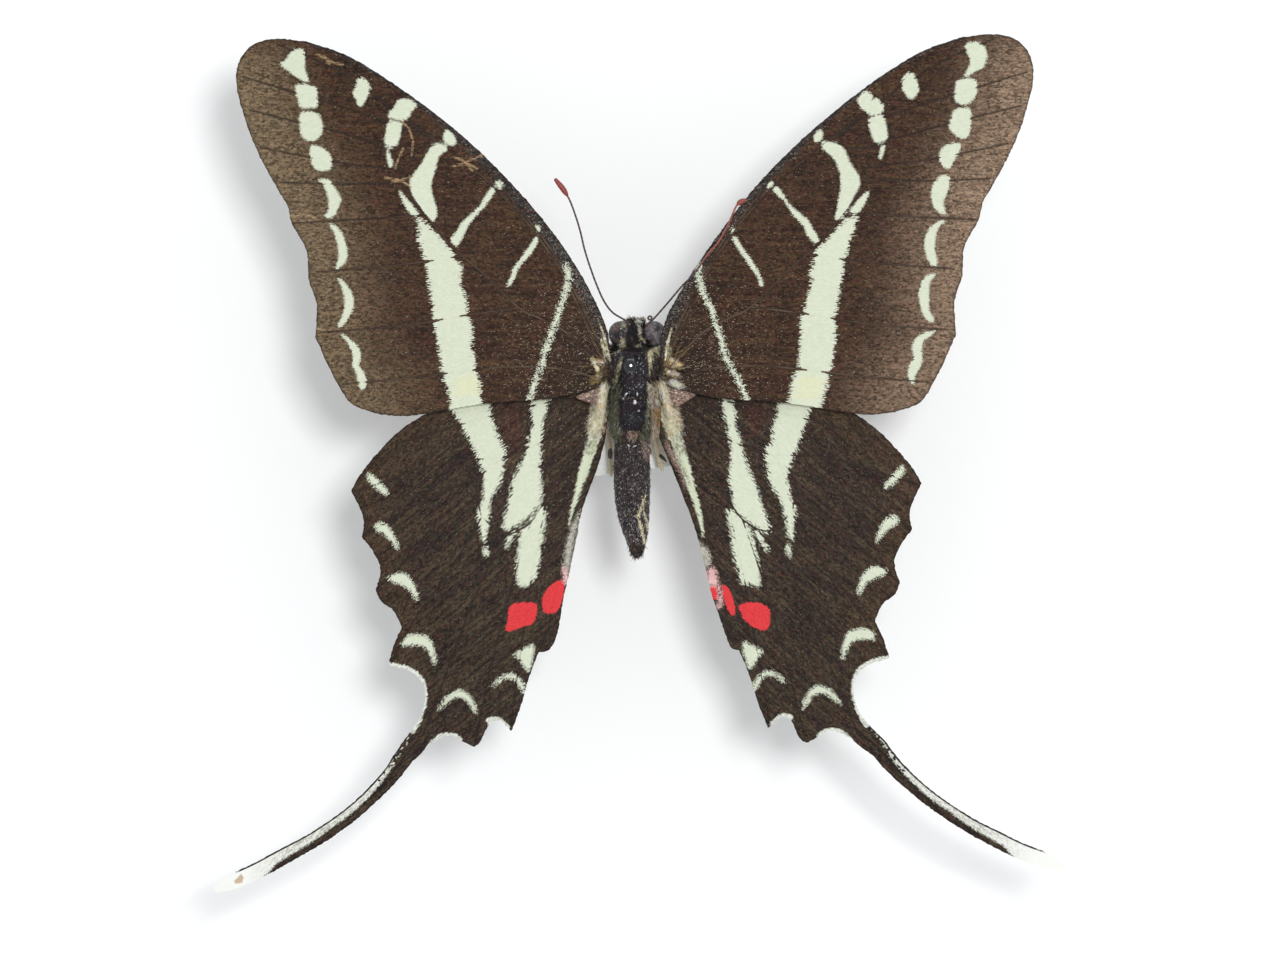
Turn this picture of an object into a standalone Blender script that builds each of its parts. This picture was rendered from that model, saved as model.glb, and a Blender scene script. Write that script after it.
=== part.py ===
"""A dark kite-swallowtail, spread and pinned over a small block, at life size.

The butterfly lies in the XY plane with its head towards +Y and its back up.
Sizes are in millimetres and become metres where a mesh is made. Wing outlines
and veins are drawn once for one side: x runs outwards from the body's mid line
and y forwards. Each wing is then turned a little about its root, as the
specimen was set.
"""

import math

import bmesh
import bpy
from mathutils import Matrix, Vector
from mathutils.geometry import delaunay_2d_cdt

MM = 0.001
GAP = 0.3  # clearance that neighbouring pieces keep

# Thorax: stations along y, from the neck to the waist
THORAX_X = -0.2
THORAX_Z = 20.3
THORAX_STATIONS = [  # y, half width, half height
    (3.60, 0.95, 1.15),
    (3.35, 1.45, 1.65),
    (2.95, 1.84, 2.02),
    (2.68, 1.95, 2.06),
    (2.35, 2.10, 2.32),
    (1.40, 2.36, 2.60),
    (0.20, 2.42, 2.67),
    (-0.85, 2.34, 2.52),
    (-1.20, 2.28, 2.38),
    (-1.60, 2.22, 2.50),
    (-2.30, 2.10, 2.36),
    (-2.75, 2.02, 2.18),
    (-3.10, 1.96, 2.20),
    (-4.00, 1.78, 2.03),
    (-4.70, 1.52, 1.76),
    (-5.02, 1.15, 1.35),
]
TEGULA_AT = (1.55, 1.5, 22.45)  # outwards from the thorax, forwards, up
TEGULA_RADII = (0.72, 1.60, 0.42)

# Head
HEAD_AT = (0.28, 5.05, 19.7)
HEAD_RADII = (1.50, 1.30, 1.35)
NECK_Y = 3.90
EYE_SPREAD = 1.55
EYE_RADII = (1.00, 1.20, 1.25)
PALP_SPREAD = 0.42
PALP_RADIUS = 0.30
COIL_FORWARD = 5.75
COIL_Z = 17.0
COIL_RADII = (0.30, 0.92)  # where the tongue's coil starts and ends
TONGUE_RADIUS = 0.25

# Abdomen
ABDOMEN_Y = (-5.35, -16.2)
ABDOMEN_SEGMENTS = 8
ABDOMEN_WAIST = 1.45
ABDOMEN_WIDEST = 1.68
ABDOMEN_GROOVE = 0.09
ABDOMEN_TIP = 0.55
ABDOMEN_DROP = 1.0  # how far its tip hangs below its root
CLASPER_RADII = (0.30, 0.85, 0.42)

# Wings
MEMBRANE = 0.5
WING_Z = 21.5
WING_RISE = 0.05
WING_CAMBER = 0.8
WING_REACH = 38.0
LAYER = 1.15  # how far the hindwing lies under the forewing
DROOP_FROM = -6.0
DROOP = 0.0015
FOLD = 0.9
FOLD_REACH = 2.0
VEIN_HEIGHT = (0.22, 0.07)  # at the root and at the margin
VEIN_HALF_WIDTH = (0.50, 0.34)
UNDERSIDE_RELIEF = 0.55
FILL_SPACING = 3.2

# side: +1 is the specimen's right, which shows on the right from above
FOREWING_TURN = {-1: 0.0, 1: 0.46}
FOREWING_SIZE = {-1: 1.0, 1: 1.006}
HINDWING_TURN = {-1: 0.0, 1: 1.7}
TAIL_TURN = {-1: 0.0, 1: 2.0}
TAIL_SIZE = {-1: 1.0, 1: 0.955}
FORE_PIVOT = (2.4, 1.2)
HIND_PIVOT = (2.4, -1.4)

FORE_ROOT_Y = (2.6, -0.3)
FOREWING_EDGE = [  # number of chords, points of one smooth stretch
    (3, [(2.45, 3.6), (2.55, 4.9), (3.3, 7.0)]),
    (14, [(3.3, 7.0), (5.2, 10.6), (8.1, 14.9), (11.9, 19.3), (16.7, 23.9), (22.4, 28.2),
          (27.1, 31.1), (31.0, 32.5)]),
    (9, [(31.0, 32.5), (33.9, 32.8), (35.9, 32.4), (37.2, 31.3), (37.8, 29.6), (37.7, 27.7)]),
    (8, [(37.7, 27.7), (36.7, 24.3), (35.5, 21.5), (34.2, 19.1), (32.9, 16.9)]),
    (12, [(32.9, 16.9), (32.5, 15.2), (31.2, 12.9), (31.0, 11.1), (30.9, 9.8), (30.2, 7.8),
          (30.2, 6.2), (30.3, 4.5)]),
    (7, [(30.3, 4.5), (28.9, 1.4), (27.3, -1.4), (26.2, -2.2), (24.3, -2.8)]),
    (8, [(24.3, -2.8), (21.9, -3.0), (19.0, -2.6), (15.7, -2.0), (11.9, -1.6), (8.6, -1.4),
         (5.9, -0.9), (3.8, -0.5)]),
]
FOREWING_VEINS = [  # from the root to the margin
    [(2.6, 2.2), (5.6, 8.6), (8.0, 12.9), (11.2, 17.0), (13.6, 20.1)],  # subcosta
    [(2.6, 1.6), (4.8, 6.2), (6.9, 10.6), (8.9, 13.6), (11.1, 16.4), (15.0, 20.2), (18.4, 22.9)],
    [(18.4, 22.9), (24.0, 27.0), (29.5, 30.4), (34.0, 32.3)],
    [(18.4, 22.9), (23.6, 25.0), (29.6, 26.9), (37.2, 29.2)],
    [(18.4, 22.9), (21.2, 24.6), (24.8, 27.6), (27.4, 30.8)],
    [(18.4, 22.9), (20.8, 22.0), (21.6, 20.3), (22.3, 19.2)],  # end of the cell
    [(20.8, 22.0), (28.0, 23.9), (37.3, 26.2)],
    [(21.6, 20.3), (28.4, 21.1), (36.0, 22.6)],
    [(22.3, 19.2), (28.0, 19.0), (34.2, 19.2)],
    [(2.6, 0.9), (6.2, 4.7), (9.0, 6.3), (11.0, 7.3), (14.8, 10.9), (17.2, 12.9), (19.9, 16.1),
     (22.3, 19.2)],  # lower edge of the cell
    [(19.9, 16.1), (25.5, 15.7), (32.4, 15.3)],
    [(16.4, 12.2), (22.0, 11.4), (30.9, 10.6)],
    [(11.0, 7.3), (16.0, 6.6), (22.0, 5.6), (30.2, 4.9)],
    [(2.6, 0.4), (7.0, 1.5), (12.0, 1.7), (16.0, 1.3), (22.5, 0.5), (28.2, 0.0)],
]

HIND_ROOT_Y = (-0.5, -2.6)
HINDWING_EDGE = [
    (4, [(4.1, 1.0), (7.1, 1.3), (11.0, 0.6), (15.2, -0.9)]),
    (5, [(15.2, -0.9), (18.6, -2.2), (20.9, -3.3), (23.3, -5.2), (26.0, -8.3), (27.0, -10.1)]),
    (4, [(27.0, -10.1), (26.1, -11.9), (25.8, -13.2), (26.0, -14.5)]),
    (4, [(26.0, -14.5), (25.1, -15.6), (24.2, -17.5), (24.7, -19.5)]),
    (4, [(24.7, -19.5), (24.2, -20.6), (23.0, -21.5), (22.2, -23.1)]),
    (2, [(22.2, -23.1), (23.0, -24.8), (23.5, -26.7)]),
    (7, [(23.5, -26.7), (21.9, -27.1), (20.7, -27.8), (20.0, -29.2), (20.3, -31.3), (21.3, -33.0)]),
    (6, [(19.6, -34.5), (18.8, -33.8), (17.6, -33.4), (16.7, -33.9), (15.4, -34.6)]),
    (6, [(15.4, -34.6), (14.7, -34.0), (14.0, -32.4), (13.1, -32.0), (12.5, -32.4), (11.8, -33.1)]),
    (3, [(11.8, -33.1), (10.8, -30.3), (10.1, -27.8), (9.2, -25.5)]),
]
HINDWING_INNER_EDGE = {  # it is folded down a little further on the left
    -1: [(3, [(9.2, -25.5), (8.2, -25.3), (7.4, -23.7), (6.9, -20.7)]),
         (7, [(6.9, -20.7), (6.4, -18.4), (5.6, -15.2), (5.0, -11.7), (3.9, -7.9), (3.0, -5.0)])],
    1: [(3, [(9.2, -25.5), (8.6, -25.3), (8.0, -23.5), (7.2, -20.4)]),
        (7, [(7.2, -20.4), (6.5, -16.6), (5.3, -12.7), (4.1, -9.8), (3.1, -7.4), (2.2, -5.0)])],
}
HINDWING_VEINS = [
    [(3.0, -1.2), (8.0, -1.6), (16.0, -3.6), (22.6, -5.6)],
    [(3.0, -1.6), (6.5, -4.2), (10.6, -6.2), (12.6, -6.9)],  # upper edge of the cell
    [(12.6, -6.9), (19.0, -7.6), (26.6, -10.2)],
    [(12.6, -6.9), (14.6, -8.6), (15.0, -10.6), (14.6, -12.6)],  # end of the cell
    [(14.6, -8.6), (20.0, -11.0), (25.8, -14.4)],
    [(15.0, -10.6), (19.6, -14.6), (24.5, -19.4)],
    [(14.6, -12.6), (17.6, -17.6), (21.0, -22.4), (23.2, -26.4)],
    [(3.0, -2.2), (5.9, -6.4), (8.4, -10.6), (9.9, -13.0), (12.3, -14.2), (14.6, -12.6)],
    [(12.3, -14.2), (15.2, -20.0), (17.8, -27.0), (20.2, -33.4)],  # into the tail
    [(9.9, -13.0), (12.0, -20.0), (14.0, -28.0), (15.3, -34.2)],
    [(8.4, -10.6), (9.8, -18.0), (11.0, -26.0), (11.9, -32.4)],
    [(3.4, -4.0), (5.4, -10.4), (6.9, -16.0), (8.0, -22.0), (8.8, -25.0)],
]

TAIL_LINE = [(20.6, -33.9), (22.0, -35.6), (23.4, -37.5), (25.2, -39.4), (27.1, -41.1),
             (29.0, -42.5), (31.0, -43.8), (33.4, -45.1), (36.0, -46.5), (38.3, -47.5), (40.3, -48.4)]
TAIL_WIDTHS = [(0.0, 2.15), (0.12, 1.75), (0.3, 1.35), (0.6, 1.3), (0.85, 1.6), (0.95, 1.4), (1.0, 0.7)]
TAIL_CHORDS = 22

# Antennae: plan points of the free left one and of the right one, which lies over its wing
ANTENNA_RADIUS = 0.25
CLUB_RADIUS = 0.36
CLUB_FROM = 0.84
ANTENNAE = {
    -1: [(-0.50, 5.75, 20.95), (-0.95, 6.2, 21.2), (-2.1, 6.9, 21.6), (-2.9, 7.9, 22.0),
         (-3.6, 9.4, 22.4), (-4.3, 11.3, 22.8), (-4.8, 12.9, 23.1), (-5.2, 14.6, 23.4),
         (-5.7, 16.2, 23.6), (-6.2, 17.5, 23.7), (-6.8, 18.5, 23.8), (-7.6, 19.5, 23.9)],
    1: [(1.06, 5.75, 20.95), (1.85, 6.4, 21.4), (3.2, 7.9, 22.3), (4.5, 9.4, 23.0),
        (5.6, 10.5, 23.4), (6.8, 12.2, 23.6), (7.9, 13.5, 23.7), (8.8, 15.1, 23.85),
        (9.5, 16.7, 23.9), (9.9, 17.2, 23.95), (10.5, 17.5, 24.0)],
}

# Legs: outwards, forwards, up; hip, knee, ankle and toe
LEGS = {
    "front": [(0.60, 2.55, 17.55), (1.50, 4.40, 16.90), (1.12, 1.60, 16.15), (0.75, -1.10, 15.75)],
    "middle": [(0.80, 0.20, 17.20), (2.10, 2.50, 16.90), (1.50, -1.60, 16.30), (1.30, -5.00, 16.00)],
    "hind": [(0.95, -2.50, 17.55), (2.80, -0.30, 17.20), (2.30, -4.60, 16.70), (2.10, -8.60, 16.40)],
}
SPLAYED_LEGS = {  # place and side of a leg that was set otherwise
    ("hind", 1): [(0.95, -2.50, 17.55), (2.80, -0.30, 17.20), (2.20, -4.90, 16.70), (3.30, -8.00, 16.40)],
}
THIGH_RADIUS = 0.33
SHIN_RADIUS = 0.27
TOE_RADIUS = 0.25

# Stand: a long insect pin through the thorax, a blank card and a foam block
PIN_AT = (-0.4, 1.4)
PIN_RADIUS = 0.30
PIN_FOOT = 0.8
PIN_TOP = 35.8
PIN_HEAD_RADIUS = 0.65
CARD_AT = (-1.14, -1.95)
CARD_TURN = 7.6
CARD_SIZE = (18.0, 12.6, 0.5)
CARD_Z = 14.2
BLOCK_SIZE = (17.4, 11.8, 6.0)
BLOCK_EDGE = 0.35

PALE_BLACK = (0.045, 0.036, 0.030)


def clear_scene():
    for obj in list(bpy.data.objects):
        bpy.data.objects.remove(obj)


def collection(name):
    made = bpy.data.collections.new(name)
    bpy.context.scene.collection.children.link(made)
    return made


def material(name, colour, roughness, metallic=0.0):
    made = bpy.data.materials.new(name)
    made.use_nodes = True
    shader = made.node_tree.nodes["Principled BSDF"]
    shader.inputs["Base Color"].default_value = (*colour, 1.0)
    shader.inputs["Roughness"].default_value = roughness
    shader.inputs["Metallic"].default_value = metallic
    return made


def finish_mesh(name, bm, finish, group, smooth=True):
    """Makes one object of a bmesh that was modelled in millimetres."""
    bmesh.ops.recalc_face_normals(bm, faces=bm.faces[:])
    bmesh.ops.scale(bm, vec=Vector((MM, MM, MM)), verts=bm.verts[:])
    mesh = bpy.data.meshes.new(name)
    bm.to_mesh(mesh)
    bm.free()
    if smooth:
        mesh.shade_smooth()
        mesh.set_sharp_from_angle(angle=math.radians(40))
    mesh.materials.append(finish)
    obj = bpy.data.objects.new(name, mesh)
    group.objects.link(obj)
    return obj


def boolean(obj, other, operation):
    """Joins or cuts obj with a helper, applies it, and removes the helper."""
    modifier = obj.modifiers.new(operation.title(), "BOOLEAN")
    modifier.operation = operation
    modifier.object = other
    bpy.context.view_layer.update()
    graph = bpy.context.evaluated_depsgraph_get()
    result = bpy.data.meshes.new_from_object(obj.evaluated_get(graph))
    obj.modifiers.clear()
    obj.data = result
    bpy.data.objects.remove(other)


def curve_point(points, t):
    """A point of the Catmull-Rom curve through the points, t from 0 to 1."""
    spans = len(points) - 1
    i = min(int(t * spans), spans - 1)
    u = t * spans - i
    p1, p2 = Vector(points[i]), Vector(points[i + 1])
    p0 = Vector(points[i - 1]) if i > 0 else p1 * 2 - p2
    p3 = Vector(points[i + 2]) if i + 2 <= spans else p2 * 2 - p1
    return 0.5 * (2 * p1 + (p2 - p0) * u + (2 * p0 - 5 * p1 + 4 * p2 - p3) * u * u
                  + (3 * p1 - p0 - 3 * p2 + p3) * u ** 3)


def smooth_line(points, chords):
    return [curve_point(points, i / chords) for i in range(chords + 1)]


def between(table, t):
    """Linear reading of a table of (position, value)."""
    for (t0, v0), (t1, v1) in zip(table, table[1:]):
        if t <= t1:
            return v0 + (v1 - v0) * (t - t0) / (t1 - t0)
    return table[-1][1]


# Body

def ring_loft(name, rings, sides, finish, group):
    """A closed body from rings across y: each is (x, y, z, half width, half height)."""
    bm = bmesh.new()
    loops = []
    for x, y, z, wide, high in rings:
        made = bmesh.ops.create_circle(bm, cap_ends=False, segments=sides, radius=1.0)["verts"]
        for vert in made:
            vert.co = Vector((x + vert.co.x * wide, y, z + vert.co.y * high))
        loops.append(made)
    for near, far in zip(loops, loops[1:]):
        edges = {e for v in near + far for e in v.link_edges
                 if {v2 for v2 in e.verts} <= set(near) or {v2 for v2 in e.verts} <= set(far)}
        bmesh.ops.bridge_loops(bm, edges=list(edges))
    for loop in (loops[0], loops[-1]):
        bmesh.ops.contextual_create(bm, geom=loop)
    bmesh.ops.triangulate(bm, faces=bm.faces[:])
    return finish_mesh(name, bm, finish, group)


def ellipsoid(name, centre, radii, finish, group, segments=16, rings=10):
    bm = bmesh.new()
    bmesh.ops.create_uvsphere(bm, u_segments=segments, v_segments=rings, radius=1.0,
                              matrix=Matrix.Translation(centre) @ Matrix.Diagonal((*radii, 1.0)))
    return finish_mesh(name, bm, finish, group)


def tube(name, points, radii, finish, group):
    """A closed tube through the points, with its own radius at each."""
    data = bpy.data.curves.new(name, "CURVE")
    data.dimensions = "3D"
    data.bevel_depth = MM
    data.bevel_resolution = 2
    data.use_fill_caps = True
    spline = data.splines.new("POLY")
    spline.points.add(len(points) - 1)
    for knot, point, radius in zip(spline.points, points, radii):
        knot.co = (*(Vector(point) * MM), 1.0)
        knot.radius = radius
    guide = bpy.data.objects.new(name + "_guide", data)
    group.objects.link(guide)
    bpy.context.view_layer.update()
    graph = bpy.context.evaluated_depsgraph_get()
    mesh = bpy.data.meshes.new_from_object(guide.evaluated_get(graph))
    bpy.data.objects.remove(guide)
    bm = bmesh.new()
    bm.from_mesh(mesh)
    bmesh.ops.remove_doubles(bm, verts=bm.verts[:], dist=1e-6)
    bmesh.ops.scale(bm, vec=Vector((1 / MM,) * 3), verts=bm.verts[:])
    return finish_mesh(name, bm, finish, group)


def thorax_half_width(y, z):
    """How far the thorax reaches out from its mid line at this place."""
    wide = between([(-s[0], s[1]) for s in THORAX_STATIONS], -y)
    high = between([(-s[0], s[2]) for s in THORAX_STATIONS], -y)
    return wide * math.sqrt(max(0.0, 1 - ((z - THORAX_Z) / high) ** 2))


def make_thorax(finish, group):
    rings = [(THORAX_X, y, THORAX_Z, wide, high) for y, wide, high in THORAX_STATIONS]
    thorax = ring_loft("thorax", rings, 20, finish, group)
    for side in (-1, 1):
        x, y, z = TEGULA_AT
        flap = ellipsoid("flap", (THORAX_X + side * x, y, z), TEGULA_RADII, finish, group, 14, 8)
        boolean(thorax, flap, "UNION")
    bm = bmesh.new()
    bmesh.ops.create_cone(bm, cap_ends=True, segments=14, depth=3 * TEGULA_AT[2],
                          radius1=PIN_RADIUS + GAP, radius2=PIN_RADIUS + GAP,
                          matrix=Matrix.Translation((*PIN_AT, THORAX_Z)))
    boolean(thorax, finish_mesh("bore", bm, finish, group), "DIFFERENCE")


def make_head(finish, eye_finish, group):
    x, y, z = HEAD_AT
    wide, long, high = HEAD_RADII
    rings = [(x, NECK_Y, z, wide * 0.62, high * 0.62)]
    for turn in (-38, -20, 0, 20, 40, 58, 74):
        across = math.cos(math.radians(turn))
        rings.append((x, y + long * math.sin(math.radians(turn)), z, wide * across, high * across))
    head = ring_loft("head", rings, 20, finish, group)
    for side, word in ((-1, "left"), (1, "right")):
        centre = (x + side * EYE_SPREAD, y - 0.1, z)
        socket = ellipsoid("socket", centre, [r + GAP for r in EYE_RADII], finish, group, 20, 12)
        boolean(head, socket, "DIFFERENCE")
        ellipsoid("eye_" + word, centre, EYE_RADII, eye_finish, group, 20, 12)


def make_face(finish, group):
    """The two palps in front of the head, and the tongue's coil under it."""
    x, y, z = HEAD_AT
    for side, word in ((-1, "left"), (1, "right")):
        line = smooth_line([(x + side * PALP_SPREAD, y + 0.55, z - HEAD_RADII[2] - GAP - 0.05),
                            (x + side * PALP_SPREAD, y + 1.35, z - 1.25),
                            (x + side * PALP_SPREAD, y + 1.75, z - 0.35),
                            (x + side * PALP_SPREAD, y + 1.55, z + 0.6)], 7)
        radii = [PALP_RADIUS * r for r in (0.85, 1.05, 1.15, 1.15, 1.05, 1.0, 0.9, 0.75)]
        tube("palp_" + word, line, radii, finish, group)
    inner, outer = COIL_RADII
    steps = 22
    coil = []
    for i in range(steps + 1):
        share = i / steps
        turn = math.radians(90 + 385 * share)
        radius = outer + (inner - outer) * share
        coil.append((x, COIL_FORWARD - 0.5 + radius * math.cos(turn), COIL_Z + radius * math.sin(turn)))
    radii = [TONGUE_RADIUS * (1.0 - 0.2 * i / steps) for i in range(steps + 1)]
    tube("tongue", coil, radii, finish, group)


def abdomen_axis(share):
    """The middle of the abdomen, from its root (0) to its tip (1)."""
    x = -0.38 + 0.75 * max(0.0, share - 0.55) ** 1.2 * 2.2
    y = ABDOMEN_Y[0] + (ABDOMEN_Y[1] - ABDOMEN_Y[0]) * share
    z = THORAX_Z - 0.25 - ABDOMEN_DROP * share ** 1.6
    return x, y, z


def abdomen_radius(share):
    swell = ABDOMEN_WAIST + (ABDOMEN_WIDEST - ABDOMEN_WAIST) * math.sin(min(1.0, share / 0.4) * math.pi / 2)
    if share > 0.55:
        swell *= math.cos((share - 0.55) / 0.45 * math.acos(ABDOMEN_TIP / ABDOMEN_WIDEST)) ** 0.9
    return swell


def make_abdomen(finish, group):
    rings = []
    steps = ABDOMEN_SEGMENTS * 3
    for i in range(steps + 1):
        share = i / steps
        groove = ABDOMEN_GROOVE if i % 3 == 0 and 0 < i < steps else 0.0
        radius = abdomen_radius(share) - groove
        if i == 0:
            radius *= 0.93
        rings.append((*abdomen_axis(share), radius, radius * 1.06))
    x, y, z = abdomen_axis(1.0)
    rings.append((x, y - 0.16, z - 0.03, ABDOMEN_TIP * 0.55, ABDOMEN_TIP * 0.6))
    ring_loft("abdomen", rings, 18, finish, group)
    for side in (-1, 1):
        bm = bmesh.new()
        bmesh.ops.create_uvsphere(
            bm, u_segments=10, v_segments=6, radius=1.0,
            matrix=(Matrix.Translation((x + side * 0.34, y - 0.05, z))
                    @ Matrix.Rotation(math.radians(side * 8), 4, "Z")
                    @ Matrix.Diagonal((*CLASPER_RADII, 1.0))))
        boolean(bpy.data.objects["abdomen"], finish_mesh("clasper", bm, finish, group), "UNION")


def make_legs(finish, group):
    for side, word in ((-1, "left"), (1, "right")):
        for place, usual in LEGS.items():
            joints = SPLAYED_LEGS.get((place, side), usual)
            points = [Vector((THORAX_X + side * x, y, z)) for x, y, z in joints]
            hip, knee, ankle, toe = points
            line = [hip, hip.lerp(knee, 0.5), hip.lerp(knee, 0.88), knee.lerp(ankle, 0.08),
                    knee.lerp(ankle, 0.4), knee.lerp(ankle, 0.75), ankle,
                    ankle.lerp(toe, 0.35), ankle.lerp(toe, 0.7), toe]
            radii = [THIGH_RADIUS * 0.9, THIGH_RADIUS, SHIN_RADIUS * 1.1, SHIN_RADIUS,
                     SHIN_RADIUS, SHIN_RADIUS, TOE_RADIUS, TOE_RADIUS, TOE_RADIUS, TOE_RADIUS * 0.7]
            tube(f"leg_{place}_{word}", line, radii, finish, group)


def make_antennae(finish, group):
    chords = 20
    for side, word in ((-1, "left"), (1, "right")):
        line = smooth_line(ANTENNAE[side], chords)
        radii = []
        for i in range(chords + 1):
            club = max(0.0, i / chords - CLUB_FROM) / (1 - CLUB_FROM)
            radii.append(ANTENNA_RADIUS + (CLUB_RADIUS - ANTENNA_RADIUS) * math.sin(club * math.pi) ** 0.7)
        radii[-1] = ANTENNA_RADIUS * 0.6
        tube("antenna_" + word, line, radii, finish, group)


# Wings

def turned(point, pivot, degrees, size=1.0):
    """The plan point turned about the pivot, tip forwards, and scaled from it."""
    angle = math.radians(degrees)
    x, y = (point[0] - pivot[0]) * size, (point[1] - pivot[1]) * size
    return Vector((pivot[0] + x * math.cos(angle) - y * math.sin(angle),
                   pivot[1] + x * math.sin(angle) + y * math.cos(angle)))


def forewing_height(x, y):
    reach = min(max(x, 0.0) / WING_REACH, 1.0)
    return WING_Z + WING_RISE * x + WING_CAMBER * math.sin(math.pi * reach)


def hindwing_height(x, y):
    droop = DROOP * max(0.0, DROOP_FROM - y) ** 2
    back = min(1.0, max(0.0, (-3.0 - y) / 5.0))
    fold = FOLD * math.exp(-max(0.0, x - 3.0) / FOLD_REACH) * back
    return forewing_height(x, y) - LAYER - droop - fold


def root_point(side, y, height):
    """The plan point where a wing's root edge faces the thorax."""
    z = height(2.4, y)
    return Vector((side * THORAX_X + thorax_half_width(y, z) + GAP, y))


def nearest(point, line):
    """(distance, share along the line, place) of the nearest place on a polyline."""
    best, share, place = 1e9, 0.0, point
    for i, (a, b) in enumerate(zip(line, line[1:])):
        ab = b - a
        t = min(1.0, max(0.0, (point - a).dot(ab) / ab.length_squared))
        distance = (point - a - ab * t).length
        if distance < best:
            best, share, place = distance, (i + t) / (len(line) - 1), a + ab * t
    return best, share, place


def inside(point, outline):
    odd = False
    for a, b in zip(outline, outline[1:] + outline[:1]):
        if (a.y > point.y) != (b.y > point.y):
            if point.x < a.x + (point.y - a.y) / (b.y - a.y) * (b.x - a.x):
                odd = not odd
    return odd


def relief(point, veins):
    """Height of the vein ridges above the membrane at a plan point."""
    top = 0.0
    for line in veins:
        distance, share, _ = nearest(point, line)
        width = VEIN_HALF_WIDTH[0] + (VEIN_HALF_WIDTH[1] - VEIN_HALF_WIDTH[0]) * share
        height = VEIN_HEIGHT[0] + (VEIN_HEIGHT[1] - VEIN_HEIGHT[0]) * share
        top = max(top, height * (1 - distance / width))
    return top


def vein_points(veins, outline):
    """Loose points at the feet of the ridges, or in the valley between two close ones."""
    edge = outline + outline[:1]
    feet = []
    for number, line in enumerate(veins):
        others = [v for k, v in enumerate(veins) if k != number]
        for i, point in enumerate(line):
            share = i / (len(line) - 1)
            width = VEIN_HALF_WIDTH[0] + (VEIN_HALF_WIDTH[1] - VEIN_HALF_WIDTH[0]) * share
            along = (line[min(i + 1, len(line) - 1)] - line[max(0, i - 1)]).normalized()
            across = Vector((-along.y, along.x))
            sides = [across, -across] + ([along] if i == len(line) - 1 else [])
            for way in sides:
                foot = point + way * width
                apart, _, place = min((nearest(foot, v) for v in others), default=(9.0, 0, foot))
                if apart < width:
                    foot = (point + place) / 2
                    if (foot - point).length < 0.2 or nearest(foot, line)[0] < 0.18:
                        continue
                crowded = min(((foot - other).length for other in feet), default=9.0) < 0.22
                if not crowded and inside(foot, outline) and nearest(foot, edge)[0] > 0.25:
                    feet.append(foot)
    return feet


def fill_points(outline, taken):
    """Loose points spread over the open membrane, so that it follows its curve."""
    edge = outline + outline[:1]
    made = []
    rows = int(90 / FILL_SPACING)
    for i in range(rows):
        for j in range(rows):
            point = Vector((i * FILL_SPACING + (j % 2) * FILL_SPACING / 2, 36 - j * FILL_SPACING * 0.87))
            if not inside(point, outline) or nearest(point, edge)[0] < 1.3:
                continue
            if min((point - other).length for other in taken) > 1.5:
                made.append(point)
    return made


def membrane(name, side, outline, veins, height, finish, group):
    """A wing with its veins raised in its own surface, alike on both faces."""
    outline = [Vector(p) for p in outline]
    points = list(outline)
    edges = [(i, (i + 1) % len(outline)) for i in range(len(outline))]
    for line in veins:
        start = len(points)
        points.extend(line)
        edges.extend((start + i, start + i + 1) for i in range(len(line) - 1))
    points.extend(vein_points(veins, outline))
    points.extend(fill_points(outline, points))
    plan, _, faces, _, _, _ = delaunay_2d_cdt(points, edges, [list(range(len(outline)))], 1, 0.02)
    bm = bmesh.new()
    lower, upper = [], []
    for point in plan:
        ridge = max(0.0, relief(point, veins))
        middle = height(point.x, point.y)
        lower.append(bm.verts.new((side * point.x, point.y,
                                   middle - MEMBRANE / 2 - ridge * UNDERSIDE_RELIEF)))
        upper.append(bm.verts.new((side * point.x, point.y, middle + MEMBRANE / 2 + ridge)))
    for face in faces:
        bm.faces.new([lower[i] for i in face])
        bm.faces.new([upper[i] for i in reversed(face)])
    rims = [[e for e in bm.edges if e.is_boundary]]
    bmesh.ops.bridge_loops(bm, edges=rims[0])
    bmesh.ops.triangulate(bm, faces=bm.faces[:])
    return finish_mesh(name, bm, finish, group)


def make_forewing(side, finish, group):
    def place(point):
        return turned(point, FORE_PIVOT, FOREWING_TURN[side], FOREWING_SIZE[side])

    outline = [root_point(side, FORE_ROOT_Y[1], forewing_height),
               root_point(side, sum(FORE_ROOT_Y) / 2, forewing_height),
               root_point(side, FORE_ROOT_Y[0], forewing_height)]
    for chords, points in FOREWING_EDGE:
        stretch = [place(p) for p in smooth_line(points, chords)]
        outline.extend(p for p in stretch if (p - outline[-1]).length > 0.05)
    veins = [[place(p) for p in smooth_line(v, 3 * len(v) - 2)] for v in FOREWING_VEINS]
    name = "forewing_" + ("right" if side > 0 else "left")
    membrane(name, side, outline, trimmed(veins, outline), forewing_height, finish, group)


def make_hindwing(side, finish, group):
    def place(point):
        return turned(point, HIND_PIVOT, HINDWING_TURN[side])

    outline = [root_point(side, HIND_ROOT_Y[1], hindwing_height),
               root_point(side, sum(HIND_ROOT_Y) / 2, hindwing_height),
               root_point(side, HIND_ROOT_Y[0], hindwing_height)]
    for chords, points in HINDWING_EDGE + HINDWING_INNER_EDGE[side]:
        stretch = [place(p) for p in smooth_line(points, chords)]
        outline.extend(p for p in stretch if (p - outline[-1]).length > 0.05)
    veins = [[place(p) for p in smooth_line(v, 3 * len(v) - 2)] for v in HINDWING_VEINS]
    word = "right" if side > 0 else "left"
    membrane("hindwing_" + word, side, outline, trimmed(veins, outline), hindwing_height, finish, group)
    make_tail(side, word, place, finish, group)


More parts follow.
